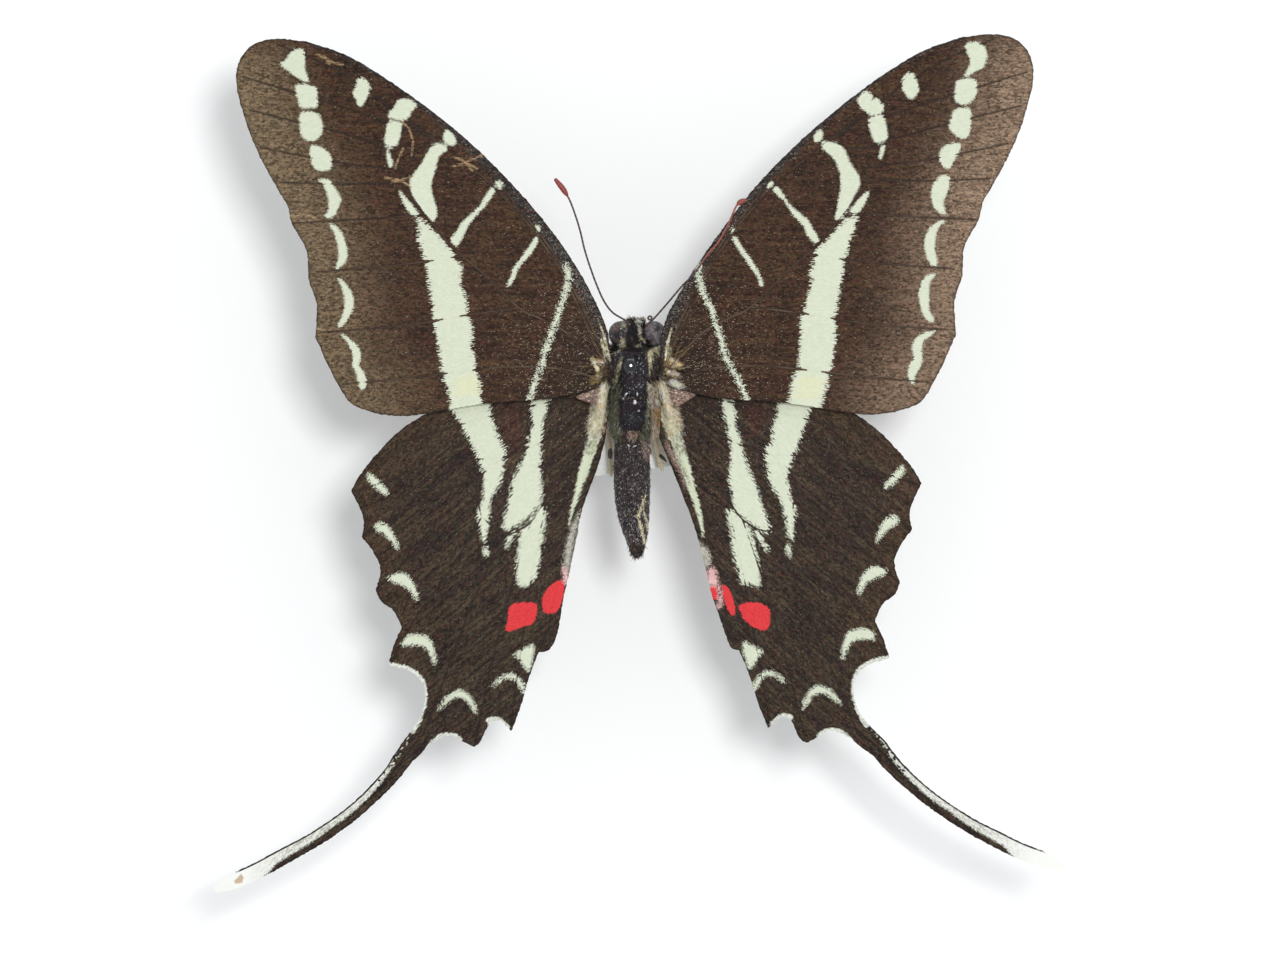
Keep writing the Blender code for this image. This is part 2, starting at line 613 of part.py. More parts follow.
def trimmed(veins, outline):
    """The veins without the points that reach the margin or the root edge."""
    edge = outline + outline[:1]
    kept = []
    for line in veins:
        short = [p for p in line if inside(p, outline) and nearest(p, edge)[0] > 0.3]
        if len(short) > 1:
            kept.append(short)
    return kept


def make_tail(side, word, place, finish, group):
    """The hindwing's tail, a ribbon that starts a gap away from the wing."""
    base = Vector(TAIL_LINE[0])
    line = [turned(p, base, TAIL_TURN[side], TAIL_SIZE[side]) for p in smooth_line(TAIL_LINE, TAIL_CHORDS)]
    line = [place(p) for p in line]
    first = (line[1] - line[0]).normalized()
    line[0] = line[0] + first * GAP
    left, right = [], []
    for i, point in enumerate(line):
        along = (line[min(i + 1, TAIL_CHORDS)] - line[max(i - 1, 0)]).normalized()
        half = between(TAIL_WIDTHS, i / TAIL_CHORDS) / 2
        left.append(point + Vector((-along.y, along.x)) * half)
        right.append(point - Vector((-along.y, along.x)) * half)
    outline = right + left[::-1]
    membrane("tail_" + word, side, outline, [line[1:-1]], hindwing_height, finish, group)


# Stand

def make_pin(finish, group):
    x, y = PIN_AT
    neck = PIN_TOP - 2 * PIN_HEAD_RADIUS
    profile = [(0.0, PIN_FOOT), (PIN_RADIUS * 0.5, PIN_FOOT + 0.3), (PIN_RADIUS, PIN_FOOT + 1.5),
               (PIN_RADIUS, neck)]
    for turn in (-50, -20, 10, 40, 65):
        angle = math.radians(turn)
        profile.append((PIN_HEAD_RADIUS * math.cos(angle),
                        neck + PIN_HEAD_RADIUS + PIN_HEAD_RADIUS * math.sin(angle)))
    profile.append((0.0, PIN_TOP))
    bm = bmesh.new()
    row = [bm.verts.new((x + radius, y, z)) for radius, z in profile]
    edges = [bm.edges.new(pair) for pair in zip(row, row[1:])]
    bmesh.ops.spin(bm, geom=row + edges, cent=(x, y, 0), axis=(0, 0, 1), angle=2 * math.pi,
                   steps=12, use_merge=True)
    bmesh.ops.remove_doubles(bm, verts=bm.verts[:], dist=1e-4)
    finish_mesh("stand_pin", bm, finish, group)


def slab(name, size, bottom, edge, hole, finish, group):
    """A flat block turned as the card lies, with a bore for the pin from this depth up."""
    bm = bmesh.new()
    place = (Matrix.Translation((*CARD_AT, bottom + size[2] / 2))
             @ Matrix.Rotation(math.radians(CARD_TURN), 4, "Z"))
    bmesh.ops.create_cube(bm, size=1.0, matrix=place @ Matrix.Diagonal((*size, 1.0)))
    if edge:
        bmesh.ops.bevel(bm, geom=bm.edges[:], offset=edge, segments=2, profile=0.5,
                        affect="EDGES", material=-1)
    made = finish_mesh(name, bm, finish, group, smooth=False)
    cutter = bmesh.new()
    top = bottom + size[2] + 1.0
    bmesh.ops.create_cone(cutter, cap_ends=True, segments=12, depth=top - hole,
                          radius1=PIN_RADIUS + GAP, radius2=PIN_RADIUS + GAP,
                          matrix=Matrix.Translation((*PIN_AT, (top + hole) / 2)))
    boolean(made, finish_mesh("bore", cutter, finish, group), "DIFFERENCE")


def main():
    clear_scene()
    group = collection("kite_swallowtail")
    wing = material("wing_scales", PALE_BLACK, 0.75)
    hair = material("body_hair", (0.03, 0.028, 0.026), 0.8)
    horn = material("antenna_horn", (0.12, 0.03, 0.02), 0.45)
    eye = material("eye_shell", (0.035, 0.028, 0.032), 0.25)
    leg = material("leg_horn", (0.10, 0.075, 0.05), 0.6)
    steel = material("pin_enamel", (0.01, 0.01, 0.012), 0.2)
    white = material("card_white", (0.9, 0.9, 0.88), 0.85)
    foam = material("foam_white", (0.88, 0.88, 0.87), 0.95)

    make_thorax(hair, group)
    make_head(hair, eye, group)
    make_face(hair, group)
    make_abdomen(hair, group)
    make_legs(leg, group)
    make_antennae(horn, group)
    for side in (-1, 1):
        make_forewing(side, wing, group)
        make_hindwing(side, wing, group)
    make_pin(steel, group)
    slab("stand_card", CARD_SIZE, CARD_Z, 0.0, CARD_Z - 1.0, white, group)
    slab("stand_block", BLOCK_SIZE, 0.0, BLOCK_EDGE, PIN_FOOT - GAP, foam, group)


main()
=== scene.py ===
import math
import random
import bmesh
import bpy
import numpy as np
from mathutils import Matrix, Vector


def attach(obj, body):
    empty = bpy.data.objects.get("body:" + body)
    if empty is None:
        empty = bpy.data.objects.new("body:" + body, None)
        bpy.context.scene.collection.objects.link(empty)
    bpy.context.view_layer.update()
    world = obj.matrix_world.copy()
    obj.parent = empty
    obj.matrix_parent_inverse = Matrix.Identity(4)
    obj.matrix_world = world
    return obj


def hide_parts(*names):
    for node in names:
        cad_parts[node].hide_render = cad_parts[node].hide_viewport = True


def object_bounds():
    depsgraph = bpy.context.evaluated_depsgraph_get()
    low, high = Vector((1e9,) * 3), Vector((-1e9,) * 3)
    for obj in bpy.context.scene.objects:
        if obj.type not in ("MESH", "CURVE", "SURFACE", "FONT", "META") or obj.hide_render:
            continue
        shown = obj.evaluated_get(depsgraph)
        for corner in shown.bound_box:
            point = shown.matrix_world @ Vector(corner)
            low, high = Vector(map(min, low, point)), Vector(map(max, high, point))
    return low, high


# A dark kite-swallowtail, spread and pinned above a card, seen from straight above.
# Everything is worked out in millimetres and made metres at the end.
# The butterfly's head points to +Y, its back to +Z. side is -1 for its left wings and 1 for its right.

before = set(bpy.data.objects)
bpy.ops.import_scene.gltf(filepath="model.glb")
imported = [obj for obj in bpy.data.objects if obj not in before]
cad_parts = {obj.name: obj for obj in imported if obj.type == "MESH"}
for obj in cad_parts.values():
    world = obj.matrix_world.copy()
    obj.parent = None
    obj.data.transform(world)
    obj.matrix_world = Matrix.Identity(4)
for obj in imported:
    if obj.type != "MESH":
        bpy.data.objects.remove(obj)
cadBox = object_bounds()
millimetre = 0.001
sides = {"left": -1, "right": 1}


# Curves, outlines and distances

def places(text):
    # numbers written as x,y x,y ... or x,y,z x,y,z ..., one row for each
    return np.array([place.split(",") for place in text.split()], dtype=float)


def curveBetween(a, b, c, d, u):
    # the Catmull-Rom curve from b to c
    square, cube = 2 * a - 5 * b + 4 * c - d, 3 * b - a - 3 * c + d
    return 0.5 * (2 * b + (c - a) * u + square * u ** 2 + cube * u ** 3)


def smoothLine(points, chords):
    # a curve through the points, as an array with chords + 1 rows
    knots = np.array(points, dtype=float)
    spans = len(knots) - 1
    padded = np.vstack([2 * knots[0] - knots[1], knots, 2 * knots[-1] - knots[-2]])
    at = np.linspace(0, spans, chords + 1)
    i = np.minimum(at.astype(int), spans - 1)
    u = (at - i)[:, None]
    return curveBetween(*(padded[i + k] for k in range(4)), u)


def smoothLoop(points, perSpan=4):
    # the same for a closed outline
    knots = np.array(points, dtype=float)
    count = len(knots)
    at = np.arange(count * perSpan) / perSpan
    i = at.astype(int)
    u = (at - i)[:, None]
    return curveBetween(*(knots[(i + k) % count] for k in (-1, 0, 1, 2)), u)


def readTable(table, at):
    rows = np.array(table, dtype=float)
    return np.interp(at, rows[:, 0], rows[:, 1])


def lineDistance(at, line):
    # nearest distance to a line, the side it lies on, and how far along
    best = np.full(len(at), 1e9)
    side = np.ones(len(at))
    share = np.zeros(len(at))
    for i in range(len(line) - 1):
        along = line[i + 1] - line[i]
        rel = at - line[i]
        t = np.clip(rel @ along / (along @ along), 0, 1)
        gap = rel - t[:, None] * along
        far = np.hypot(gap[:, 0], gap[:, 1])
        near = far < best
        best[near] = far[near]
        side[near] = np.sign(along[0] * rel[near, 1] - along[1] * rel[near, 0])
        share[near] = (i + t[near]) / (len(line) - 1)
    return best, side, share


def insideOutline(at, outline):
    odd = np.zeros(len(at), dtype=bool)
    for a, b in zip(outline, np.roll(outline, -1, axis=0)):
        if a[1] == b[1]:
            continue
        crosses = (a[1] > at[:, 1]) != (b[1] > at[:, 1])
        odd ^= crosses & (at[:, 0] < a[0] + (at[:, 1] - a[1]) / (b[1] - a[1]) * (b[0] - a[0]))
    return odd


def patchDepth(at, outline, reach=1.5):
    # how deep inside an outline a point lies: positive inside, negative outside, cut off at reach
    depth = np.full(len(at), -reach)
    low, high = outline.min(axis=0) - reach, outline.max(axis=0) + reach
    near = np.all((at > low) & (at < high), axis=1)
    if near.any():
        close = at[near]
        far, _, _ = lineDistance(close, np.vstack([outline, outline[:1]]))
        depth[near] = np.clip(np.where(insideOutline(close, outline), far, -far), -reach, reach)
    return depth


def patchesDepth(at, outlines, reach=1.5):
    depth = np.full(len(at), -reach)
    for outline in outlines:
        depth = np.maximum(depth, patchDepth(at, outline, reach))
    return depth


def ribbonOutline(line, nearSide, farSide):
    # outline of a stripe along a line, between two sideways offsets given per point
    along = np.gradient(line, axis=0)
    along /= np.linalg.norm(along, axis=1)[:, None]
    across = np.column_stack([-along[:, 1], along[:, 0]])
    return np.vstack([line + across * np.asarray(nearSide)[:, None],
                      (line + across * np.asarray(farSide)[:, None])[::-1]])


# Finishing a piece

def newObject(name, mesh):
    obj = bpy.data.objects.new(name, mesh)
    bpy.context.scene.collection.objects.link(obj)
    return obj


def meshFrom(name, bm, scale=millimetre):
    if scale != 1:
        bmesh.ops.scale(bm, vec=(scale, scale, scale), verts=bm.verts[:])
    mesh = bpy.data.meshes.new(name)
    bm.to_mesh(mesh)
    bm.free()
    return mesh


def joinedMesh(name, meshes):
    bm = bmesh.new()
    for mesh in meshes:
        bm.from_mesh(mesh)
        bpy.data.meshes.remove(mesh)
    mesh = meshFrom(name, bm, 1.0)
    mesh.shade_smooth()
    return mesh


def softShade(mesh, angle=40):
    mesh.shade_smooth()
    mesh.set_sharp_from_angle(angle=math.radians(angle))


def finishPiece(obj, materials=(), replaces=()):
    for material in materials:
        obj.data.materials.append(material)
    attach(obj, "root")
    if replaces:
        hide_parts(*replaces)
    return obj


def applied(obj):
    # the object's mesh with its modifiers applied, and the object removed
    bpy.context.view_layer.update()
    mesh = bpy.data.meshes.new_from_object(obj.evaluated_get(bpy.context.evaluated_depsgraph_get()))
    bpy.data.objects.remove(obj)
    return mesh


def addValues(mesh, name, values):
    layer = mesh.attributes.new(name, "FLOAT", "POINT")
    layer.data.foreach_set("value", np.asarray(values, dtype=np.float32))


def meshPoints(mesh):
    flat = np.empty(len(mesh.vertices) * 3)
    mesh.vertices.foreach_get("co", flat)
    return flat.reshape(-1, 3)


# Material helpers

def colour(red, green, blue):
    # screen colour, 0 to 255, as the linear colour that a node holds
    def linear(c):
        c /= 255
        return c / 12.92 if c <= 0.04045 else ((c + 0.055) / 1.055) ** 2.4
    return (linear(red), linear(green), linear(blue), 1.0)


bench = {}  # the node tree that is being built


def addNode(kind, **values):
    node = bench["tree"].nodes.new("ShaderNode" + kind)
    for name, value in values.items():
        setattr(node, name, value)
    return node


def feed(socket, value):
    if isinstance(value, bpy.types.NodeSocket):
        bench["tree"].links.new(value, socket)
    elif value is not None:
        socket.default_value = value


def calc(operation, a, b=None):
    node = addNode("Math", operation=operation)
    feed(node.inputs[0], a)
    feed(node.inputs[1], b)
    return node.outputs[0]


def plus(a, b):
    return calc("ADD", a, b)


def minus(a, b):
    return calc("SUBTRACT", a, b)


def times(a, b):
    return calc("MULTIPLY", a, b)


def over(a, b):
    return calc("DIVIDE", a, b)


def above(a, b):
    return calc("GREATER_THAN", a, b)


def most(a, b):
    return calc("MAXIMUM", a, b)


def spread(value, fromLow, fromHigh, toLow=0.0, toHigh=1.0, smooth=False):
    node = addNode("MapRange", interpolation_type="SMOOTHSTEP" if smooth else "LINEAR")
    for k, number in enumerate((value, fromLow, fromHigh, toLow, toHigh)):
        feed(node.inputs[k], number)
    return node.outputs["Result"]


def mixColour(factor, first, second, kind="MIX"):
    node = addNode("Mix", data_type="RGBA", blend_type=kind)
    for k, value in ((0, factor), (6, first), (7, second)):
        feed(node.inputs[k], value)
    return node.outputs[2]


def readValue(name, output="Fac"):
    return addNode("Attribute", attribute_name=name).outputs[output]


def objectPlace():
    return addNode("TexCoord").outputs["Object"]


def texture(kind, scale, detail=None, vector=None, **values):
    # a noise or cell pattern, on the object's own place unless another vector is given
    node = addNode("Tex" + kind, **values)
    feed(node.inputs["Scale"], scale)
    if detail is not None:
        feed(node.inputs["Detail"], detail)
    feed(node.inputs["Vector"], vector or objectPlace())
    return node.outputs


def channels(tone):
    node = addNode("SeparateColor")
    feed(node.inputs[0], tone)
    return node.outputs


def newMaterial(name):
    material = bpy.data.materials.new(name)
    material.use_nodes = True
    bench["tree"] = material.node_tree
    return material, material.node_tree.nodes["Principled BSDF"]


def finishShader(shader, tone, roughness, specular=None, relief=None, strength=0.5, distance=0.0):
    feed(shader.inputs["Base Color"], tone)
    feed(shader.inputs["Roughness"], roughness)
    feed(shader.inputs["Specular IOR Level"], specular)
    if relief:
        bump = addNode("Bump")
        feed(bump.inputs["Strength"], strength)
        feed(bump.inputs["Distance"], distance)
        feed(bump.inputs["Height"], relief)
        feed(shader.inputs["Normal"], bump.outputs["Normal"])


def newGroup(name, inputs, outputs):
    group = bpy.data.node_groups.new(name, "ShaderNodeTree")
    bench["tree"] = group
    for label, default in inputs.items():
        socket = group.interface.new_socket(label, in_out="INPUT", socket_type="NodeSocketFloat")
        socket.default_value = default
    for label in outputs:
        group.interface.new_socket(label, in_out="OUTPUT", socket_type="NodeSocketFloat")
    return group, group.nodes.new("NodeGroupInput").outputs, group.nodes.new("NodeGroupOutput").inputs


def placeRows(width, length, degrees, sparks):
    # the scale rows with their own size and turn
    node = addNode("Group", node_tree=scaleRows)
    for label, value in (("Width", width), ("Length", length), ("Angle", math.radians(degrees)),
                         ("Sparks", sparks)):
        feed(node.inputs[label], value)
    return node.outputs


# Scale rows: a tone for each scale, ragged teeth along the rows, and a few scales that catch the light
def makeScaleGroup():
    inputs = {"Width": 0.10, "Length": 0.32, "Angle": 0.0, "Sparks": 0.02}
    group, entry, leave = newGroup("scaleRows", inputs, ("Grain", "Teeth", "Spark", "Cloud", "Relief"))
    inMm = addNode("VectorMath", operation="SCALE")
    feed(inMm.inputs[0], objectPlace())
    feed(inMm.inputs["Scale"], 1 / millimetre)
    turn = addNode("VectorRotate", rotation_type="Z_AXIS")
    feed(turn.inputs["Vector"], inMm.outputs[0])
    feed(turn.inputs["Angle"], entry["Angle"])
    shape = addNode("CombineXYZ")
    for k, side in enumerate(("Length", "Width", "Length")):
        feed(shape.inputs[k], over(1.0, entry[side]))
    scaled = addNode("VectorMath", operation="MULTIPLY")
    feed(scaled.inputs[0], turn.outputs[0])
    feed(scaled.inputs[1], shape.outputs[0])
    cells = texture("Voronoi", 1.0, vector=scaled.outputs[0], feature="F1")
    parts = channels(cells["Color"])
    feed(leave["Grain"], parts[0])
    feed(leave["Teeth"], texture("Noise", 1.0, 2.0, scaled.outputs[0])["Fac"])
    feed(leave["Spark"], above(parts[1], minus(1.0, entry["Sparks"])))
    feed(leave["Cloud"], texture("Noise", 0.45, 4.0, turn.outputs[0])["Fac"])
    feed(leave["Relief"], cells["Distance"])
    return group


scaleRows = makeScaleGroup()


# Wings: form

wingForm = {
    "rootHeight": 21.5, "rise": 0.05, "camber": 0.8, "reach": 38.0,  # the spread wing's gentle arch
    "layer": 1.15,  # the hindwing lies this far under the forewing
    "droopFrom": -6.0, "droop": 0.0015, "fold": 0.9, "foldReach": 2.0,
    "halfThickness": 0.075, "edgeThickness": 0.045,
    "sag": 0.16, "sagReach": 1.8,  # the membrane hangs between its veins
    "foreTurn": {-1: 0.0, 1: 0.46}, "foreSize": {-1: 1.0, 1: 1.006}, "hindTurn": {-1: 0.0, 1: 1.7},
    "tailTurn": {-1: 0.0, 1: 2.0}, "tailSize": {-1: 1.0, 1: 0.955},
    "forePivot": (2.4, 1.2), "hindPivot": (2.4, -1.4),
    "mesh": 0.165, "quickMesh": 0.4,
}

foreEdge = [  # smooth stretches of the forewing's edge, x outwards and y forwards from the thorax
    (4, places("2.45,3.6 2.55,4.9 3.3,7")),
    (40, places("3.3,7 5.2,10.6 8.1,14.9 11.9,19.3 16.7,23.9 22.4,28.2 27.1,31.1 31,32.5")),
    (18, places("31,32.5 33.9,32.8 35.9,32.4 37.2,31.3 37.8,29.6 37.7,27.7")),
    (20, places("37.7,27.7 36.7,24.3 35.5,21.5 34.2,19.1 32.9,16.9")),
    (28, places("32.9,16.9 32.5,15.2 31.2,12.9 31,11.1 30.9,9.8 30.2,7.8 30.2,6.2 30.3,4.5")),
    (18, places("30.3,4.5 28.9,1.4 27.3,-1.4 26.2,-2.2 24.3,-2.8")),
    (24, places("24.3,-2.8 21.9,-3 19,-2.6 15.7,-2 11.9,-1.6 8.6,-1.4 5.9,-0.9 3.8,-0.5")),
]
foreFrontRight = places("3.3,7 5.4,10.5 8.4,14.7 12.05,19.2 16.8,23.8 22.4,28.2 27.1,31.1 31,32.5")
foreVeins = [
    places("2.6,2.2 5.6,8.6 8,12.9 11.2,17 13.6,20.1"),
    places("2.6,1.6 4.8,6.2 6.9,10.6 8.9,13.6 11.1,16.4 15,20.2 18.4,22.9"),
    places("18.4,22.9 24,27 29.5,30.4 34,32.3"),
    places("18.4,22.9 23.6,25 29.6,26.9 37.2,29.2"),
    places("18.4,22.9 21.2,24.6 24.8,27.6 27.4,30.8"),
    places("18.4,22.9 20.8,22 21.6,20.3 22.3,19.2"),
    places("20.8,22 28,23.9 37.3,26.2"),
    places("21.6,20.3 28.4,21.1 36,22.6"),
    places("22.3,19.2 28,19 34.2,19.2"),
    places("2.6,0.9 6.2,4.7 9,6.3 11,7.3 14.8,10.9 17.2,12.9 19.9,16.1 22.3,19.2"),
    places("19.9,16.1 25.5,15.7 32.4,15.3"),
    places("16.4,12.2 22,11.4 30.9,10.6"),
    places("11,7.3 16,6.6 22,5.6 30.2,4.9"),
    places("2.6,0.4 7,1.5 12,1.7 16,1.3 22.5,0.5 28.2,0"),
]
hindEdge = [
    (10, places("4.1,1 7.1,1.3 11,0.6 15.2,-0.9")),
    (14, places("15.2,-0.9 18.6,-2.2 20.9,-3.3 23.3,-5.2 26,-8.3 27,-10.1")),
    (8, places("27,-10.1 26.1,-11.9 25.8,-13.2 26,-14.5")),
    (8, places("26,-14.5 25.1,-15.6 24.2,-17.5 24.7,-19.5")),
    (8, places("24.7,-19.5 24.2,-20.6 23,-21.5 22.2,-23.1")),
    (5, places("22.2,-23.1 23,-24.8 23.5,-26.7")),
    (14, places("23.5,-26.7 21.9,-27.1 20.7,-27.8 20,-29.2 20.3,-31.3 21.15,-32.75")),
    (12, places("19.75,-34.35 18.8,-33.8 17.6,-33.4 16.7,-33.9 15.4,-34.6")),
    (12, places("15.4,-34.6 14.7,-34 14,-32.4 13.1,-32 12.5,-32.4 11.8,-33.1")),
    (8, places("11.8,-33.1 10.8,-30.3 10.1,-27.8 9.2,-25.5")),
]
hindInnerEdge = {
    -1: [(6, places("9.2,-25.5 8.2,-25.3 7.4,-23.7 6.9,-20.7")),
         (20, places("6.9,-20.7 6.4,-18.4 5.7,-15.2 5,-11.7 3.6,-7.9 2.8,-5"))],
    1: [(6, places("9.2,-25.5 8.4,-25.2 7.75,-23.2 7.1,-21.2")),
        (20, places("7.1,-21.2 6.75,-20 6.2,-17.4 5.3,-13.5 4.15,-10.2 3.15,-7.5 2.2,-5"))],
}
hindVeins = [
    places("3,-1.2 8,-1.6 16,-3.6 22.6,-5.6"),
    places("3,-1.6 6.5,-4.2 10.6,-6.2 12.6,-6.9"),
    places("12.6,-6.9 19,-7.6 26.6,-10.2"),
    places("12.6,-6.9 14.6,-8.6 15,-10.6 14.6,-12.6"),
    places("14.6,-8.6 20,-11 25.8,-14.4"),
    places("15,-10.6 19.6,-14.6 24.5,-19.4"),
    places("14.6,-12.6 17.6,-17.6 21,-22.4 23.2,-26.4"),
    places("3,-2.2 5.9,-6.4 8.4,-10.6 9.9,-13 12.3,-14.2 14.6,-12.6"),
    places("12.3,-14.2 15.2,-20 17.8,-27 20.2,-33.4"),
    places("9.9,-13 12,-20 14,-28 15.3,-34.2"),
    places("8.4,-10.6 9.8,-18 11,-26 11.9,-32.4"),
    places("3.4,-4 5.4,-10.4 6.9,-16 8,-22 8.8,-25"),
]
tailLine = places("20.6,-33.9 22,-35.6 23.4,-37.5 25.2,-39.4 27.1,-41.1 29,-42.5 31,-43.8 33.4,-45.1 "
                  "36,-46.5 38.3,-47.5 40.3,-48.4")
tailWidths = places("0,2.2 0.12,1.75 0.3,1.46 0.6,1.46 0.75,1.6 0.88,1.55 0.95,1.25 1,0.5")
tailSway = {  # how far each tail bends outwards off its line, from its root to its end
    -1: places("0,0.1 0.2,0.1 0.6,0.14 0.8,0.1 1,0"),
    1: places("0,0.08 0.04,0.2 0.1,0.36 0.3,0.32 0.5,0.16 0.75,-0.18 1,-0.25"),
}


def turnedPlan(points, pivot, degrees, size=1.0):
    angle = math.radians(degrees)
    rel = (np.asarray(points, dtype=float) - pivot) * size
    return np.column_stack([rel[:, 0] * math.cos(angle) - rel[:, 1] * math.sin(angle),
                            rel[:, 0] * math.sin(angle) + rel[:, 1] * math.cos(angle)]) + pivot


def unturnedPlan(points, pivot, degrees, size=1.0):
    angle = math.radians(-degrees)
    rel = np.asarray(points, dtype=float) - pivot
    return np.column_stack([rel[:, 0] * math.cos(angle) - rel[:, 1] * math.sin(angle),
                            rel[:, 0] * math.sin(angle) + rel[:, 1] * math.cos(angle)]) / size + pivot


def forewingHeight(plan):
    form = wingForm
    reach = np.clip(plan[:, 0] / form["reach"], 0, 1)
    return form["rootHeight"] + form["rise"] * plan[:, 0] + form["camber"] * np.sin(math.pi * reach)


def hindwingHeight(plan):
    form = wingForm
    droop = form["droop"] * np.maximum(0, form["droopFrom"] - plan[:, 1]) ** 2
    back = np.clip((-3.0 - plan[:, 1]) / 5.0, 0, 1)
    fold = form["fold"] * np.exp(-np.maximum(0, plan[:, 0] - 3.0) / form["foldReach"]) * back
    return forewingHeight(plan) - form["layer"] - droop - fold


def roughEdge(outline, seed, step=0.22, jitter=0.022):
    # even small chords with the fringe's unevenness
    closed = np.vstack([outline, outline[:1]])
    lengths = np.concatenate([[0], np.cumsum(np.linalg.norm(np.diff(closed, axis=0), axis=1))])
    at = np.linspace(0, lengths[-1], int(lengths[-1] / step), endpoint=False)
    even = np.column_stack([np.interp(at, lengths, closed[:, k]) for k in (0, 1)])
    pick = np.random.default_rng(seed)
    return even + pick.normal(0, jitter, even.shape)


def clippedSheet(name, outline, step):
    # a fine flat slab cut to the outline, with its top at z 1 and its underside at z -1
    low, high = outline.min(axis=0) - 1, outline.max(axis=0) + 1
    size, middle = (high - low) / 2, (high + low) / 2
    bm = bmesh.new()
    place = Matrix.Translation((*middle, -1)) @ Matrix.Diagonal((*size, 1, 1))
    bmesh.ops.create_grid(bm, x_segments=int(2 * size[0] / step), y_segments=int(2 * size[1] / step),
                          size=1.0, matrix=place)
    raised = bmesh.ops.extrude_face_region(bm, geom=bm.faces[:])["geom"]
    bmesh.ops.translate(bm, vec=(0, 0, 2), verts=[g for g in raised if isinstance(g, bmesh.types.BMVert)])
    bmesh.ops.recalc_face_normals(bm, faces=bm.faces[:])
    slab = newObject(name, meshFrom(name, bm, 1.0))
    bm = bmesh.new()
    loop = [bm.verts.new((x, y, -2)) for x, y in outline]
    bm.faces.new(loop)
    raised = bmesh.ops.extrude_face_region(bm, geom=bm.faces[:])["geom"]
    bmesh.ops.translate(bm, vec=(0, 0, 4), verts=[g for g in raised if isinstance(g, bmesh.types.BMVert)])
    bmesh.ops.recalc_face_normals(bm, faces=bm.faces[:])
    cutter = newObject("cutter", meshFrom("cutter", bm, 1.0))
    cut = slab.modifiers.new("cut", "BOOLEAN")
    cut.operation, cut.solver, cut.object = "INTERSECT", "MANIFOLD", cutter
    mesh = applied(slab)
    bpy.data.objects.remove(cutter)
    return mesh


def veinTubes(lines, radii):
    # round veins along plan lines, as one loose mesh lying at z 0
    data = bpy.data.curves.new("veins", "CURVE")
    data.dimensions = "3D"
    data.bevel_depth = 1.0
    data.bevel_resolution = 1
    data.use_fill_caps = True
    for line, radius in zip(lines, radii):
        spline = data.splines.new("POLY")
        spline.points.add(len(line) - 1)
        for knot, point, wide in zip(spline.points, line, radius):
            knot.co = (point[0], point[1], 0, 1)
            knot.radius = wide
    obj = newObject("veins", data)
    mesh = applied(obj)
    bm = bmesh.new()
    bm.from_mesh(mesh)
    bmesh.ops.remove_doubles(bm, verts=bm.verts[:], dist=1e-5)
    bpy.data.meshes.remove(mesh)
    return bm


# Markings of the upper side, drawn on a plan as x,y x,y ... from its top left
drawing = {"perMillimetre": 10.5, "middle": 635, "roots": 385}


def drawn(points):
    # plan millimetres outwards on the left side and forwards
    return (np.array((drawing["middle"], drawing["roots"])) - places(points)) / drawing["perMillimetre"]


def band(left, right):
    return np.vstack([drawn(left), drawn(right)[::-1]])


def drawnRightFore(points):
    return unturnedPlan(drawn(points) * (-1, 1), wingForm["forePivot"], wingForm["foreTurn"][1],
                        wingForm["foreSize"][1])


def drawnRight(points):
    # drawn on the right hindwing, and turned back to where the left one lies
    return unturnedPlan(drawn(points) * (-1, 1), wingForm["hindPivot"], wingForm["hindTurn"][1])


forePale = [drawn(p) for p in (
    "297,51 306,53 306.5,70 310,83 303,82 290,73 282,66 288,61 292,54",
    "299,86 315,88 318.5,93 319,107 316,109.5 303,109.5 300,104 297,92",
    "302,114.5 319,115 322,120 325,130 322,137 316,142 307,141.5 302,133",
    "312,148 319,147.5 328,152 333,160 332,170 325,172.5 316,170 312,160",
    "320,181 330,181 337,190 342,200 341,205 338,213 333,219 326,218 330,210 329,197 325,187",
    "331,225 337,227 344,236 348,248 348,260 343,267 338,271 337,268 340,258 339,247 336,236",
    "339,279 346,283 352,292 355,300 354,310 349,320 343,327 339,326 344,316 346,304 344,291",
    "342,334 350,339 360,348 362,358 360,366 366,374 368,384 364,390 360,386 358,375 354,366 354,355 "
    "349,344",
    "363,79 369,84 372,91 369,98 364,107 360,108 357,101 354,95 357,89 358,82",
    "400,101 410,101 418,106 412,114 409,121 404,122.5 390,119 391,112 396,107",
    "390,122 403,125 402,133 400,142 396,149 388,149 385.5,144 387,133",
    "388,151 391,155 394,165 391,170 388,160",
    "446,132 452,133 457,143 452,147 444,141",
    "440,143 447,146 449,150 440,158 437,168 434,178 432,188 434,198 438,212 436,221 432,222 424,213 "
    "418,204 413,195 411,185 412,179 422,165 429,153 433,146",
    "400,191 408,200 414,207 420,216 415,218 408,211 403,201",
    "495.7,183 498.6,180.7 502.9,183 503.6,187 500.7,190 497,186.4",
    "492.1,188 495.7,187 495.7,191.4 490,200.7 484.3,208.6 478.6,214.3 470.7,223.6 464.3,235.7 "
    "458.6,246.4 454.3,245.7 451.4,240 455.7,234.3 463.6,222 472.9,213.6 481.4,205 487,194.3",
    "535,227 538,225.7 540.7,228 539.3,234 536.4,231.4",
    "536.4,236.6 539,238.2 536.9,244.6 532,253.2 525,261 518.6,269 514.9,279 511.6,284.7 507,286.8 "
    "508.2,282.5 510.9,278.2 513.8,268.2 519.4,261 525,252.5 531.5,244",
)]
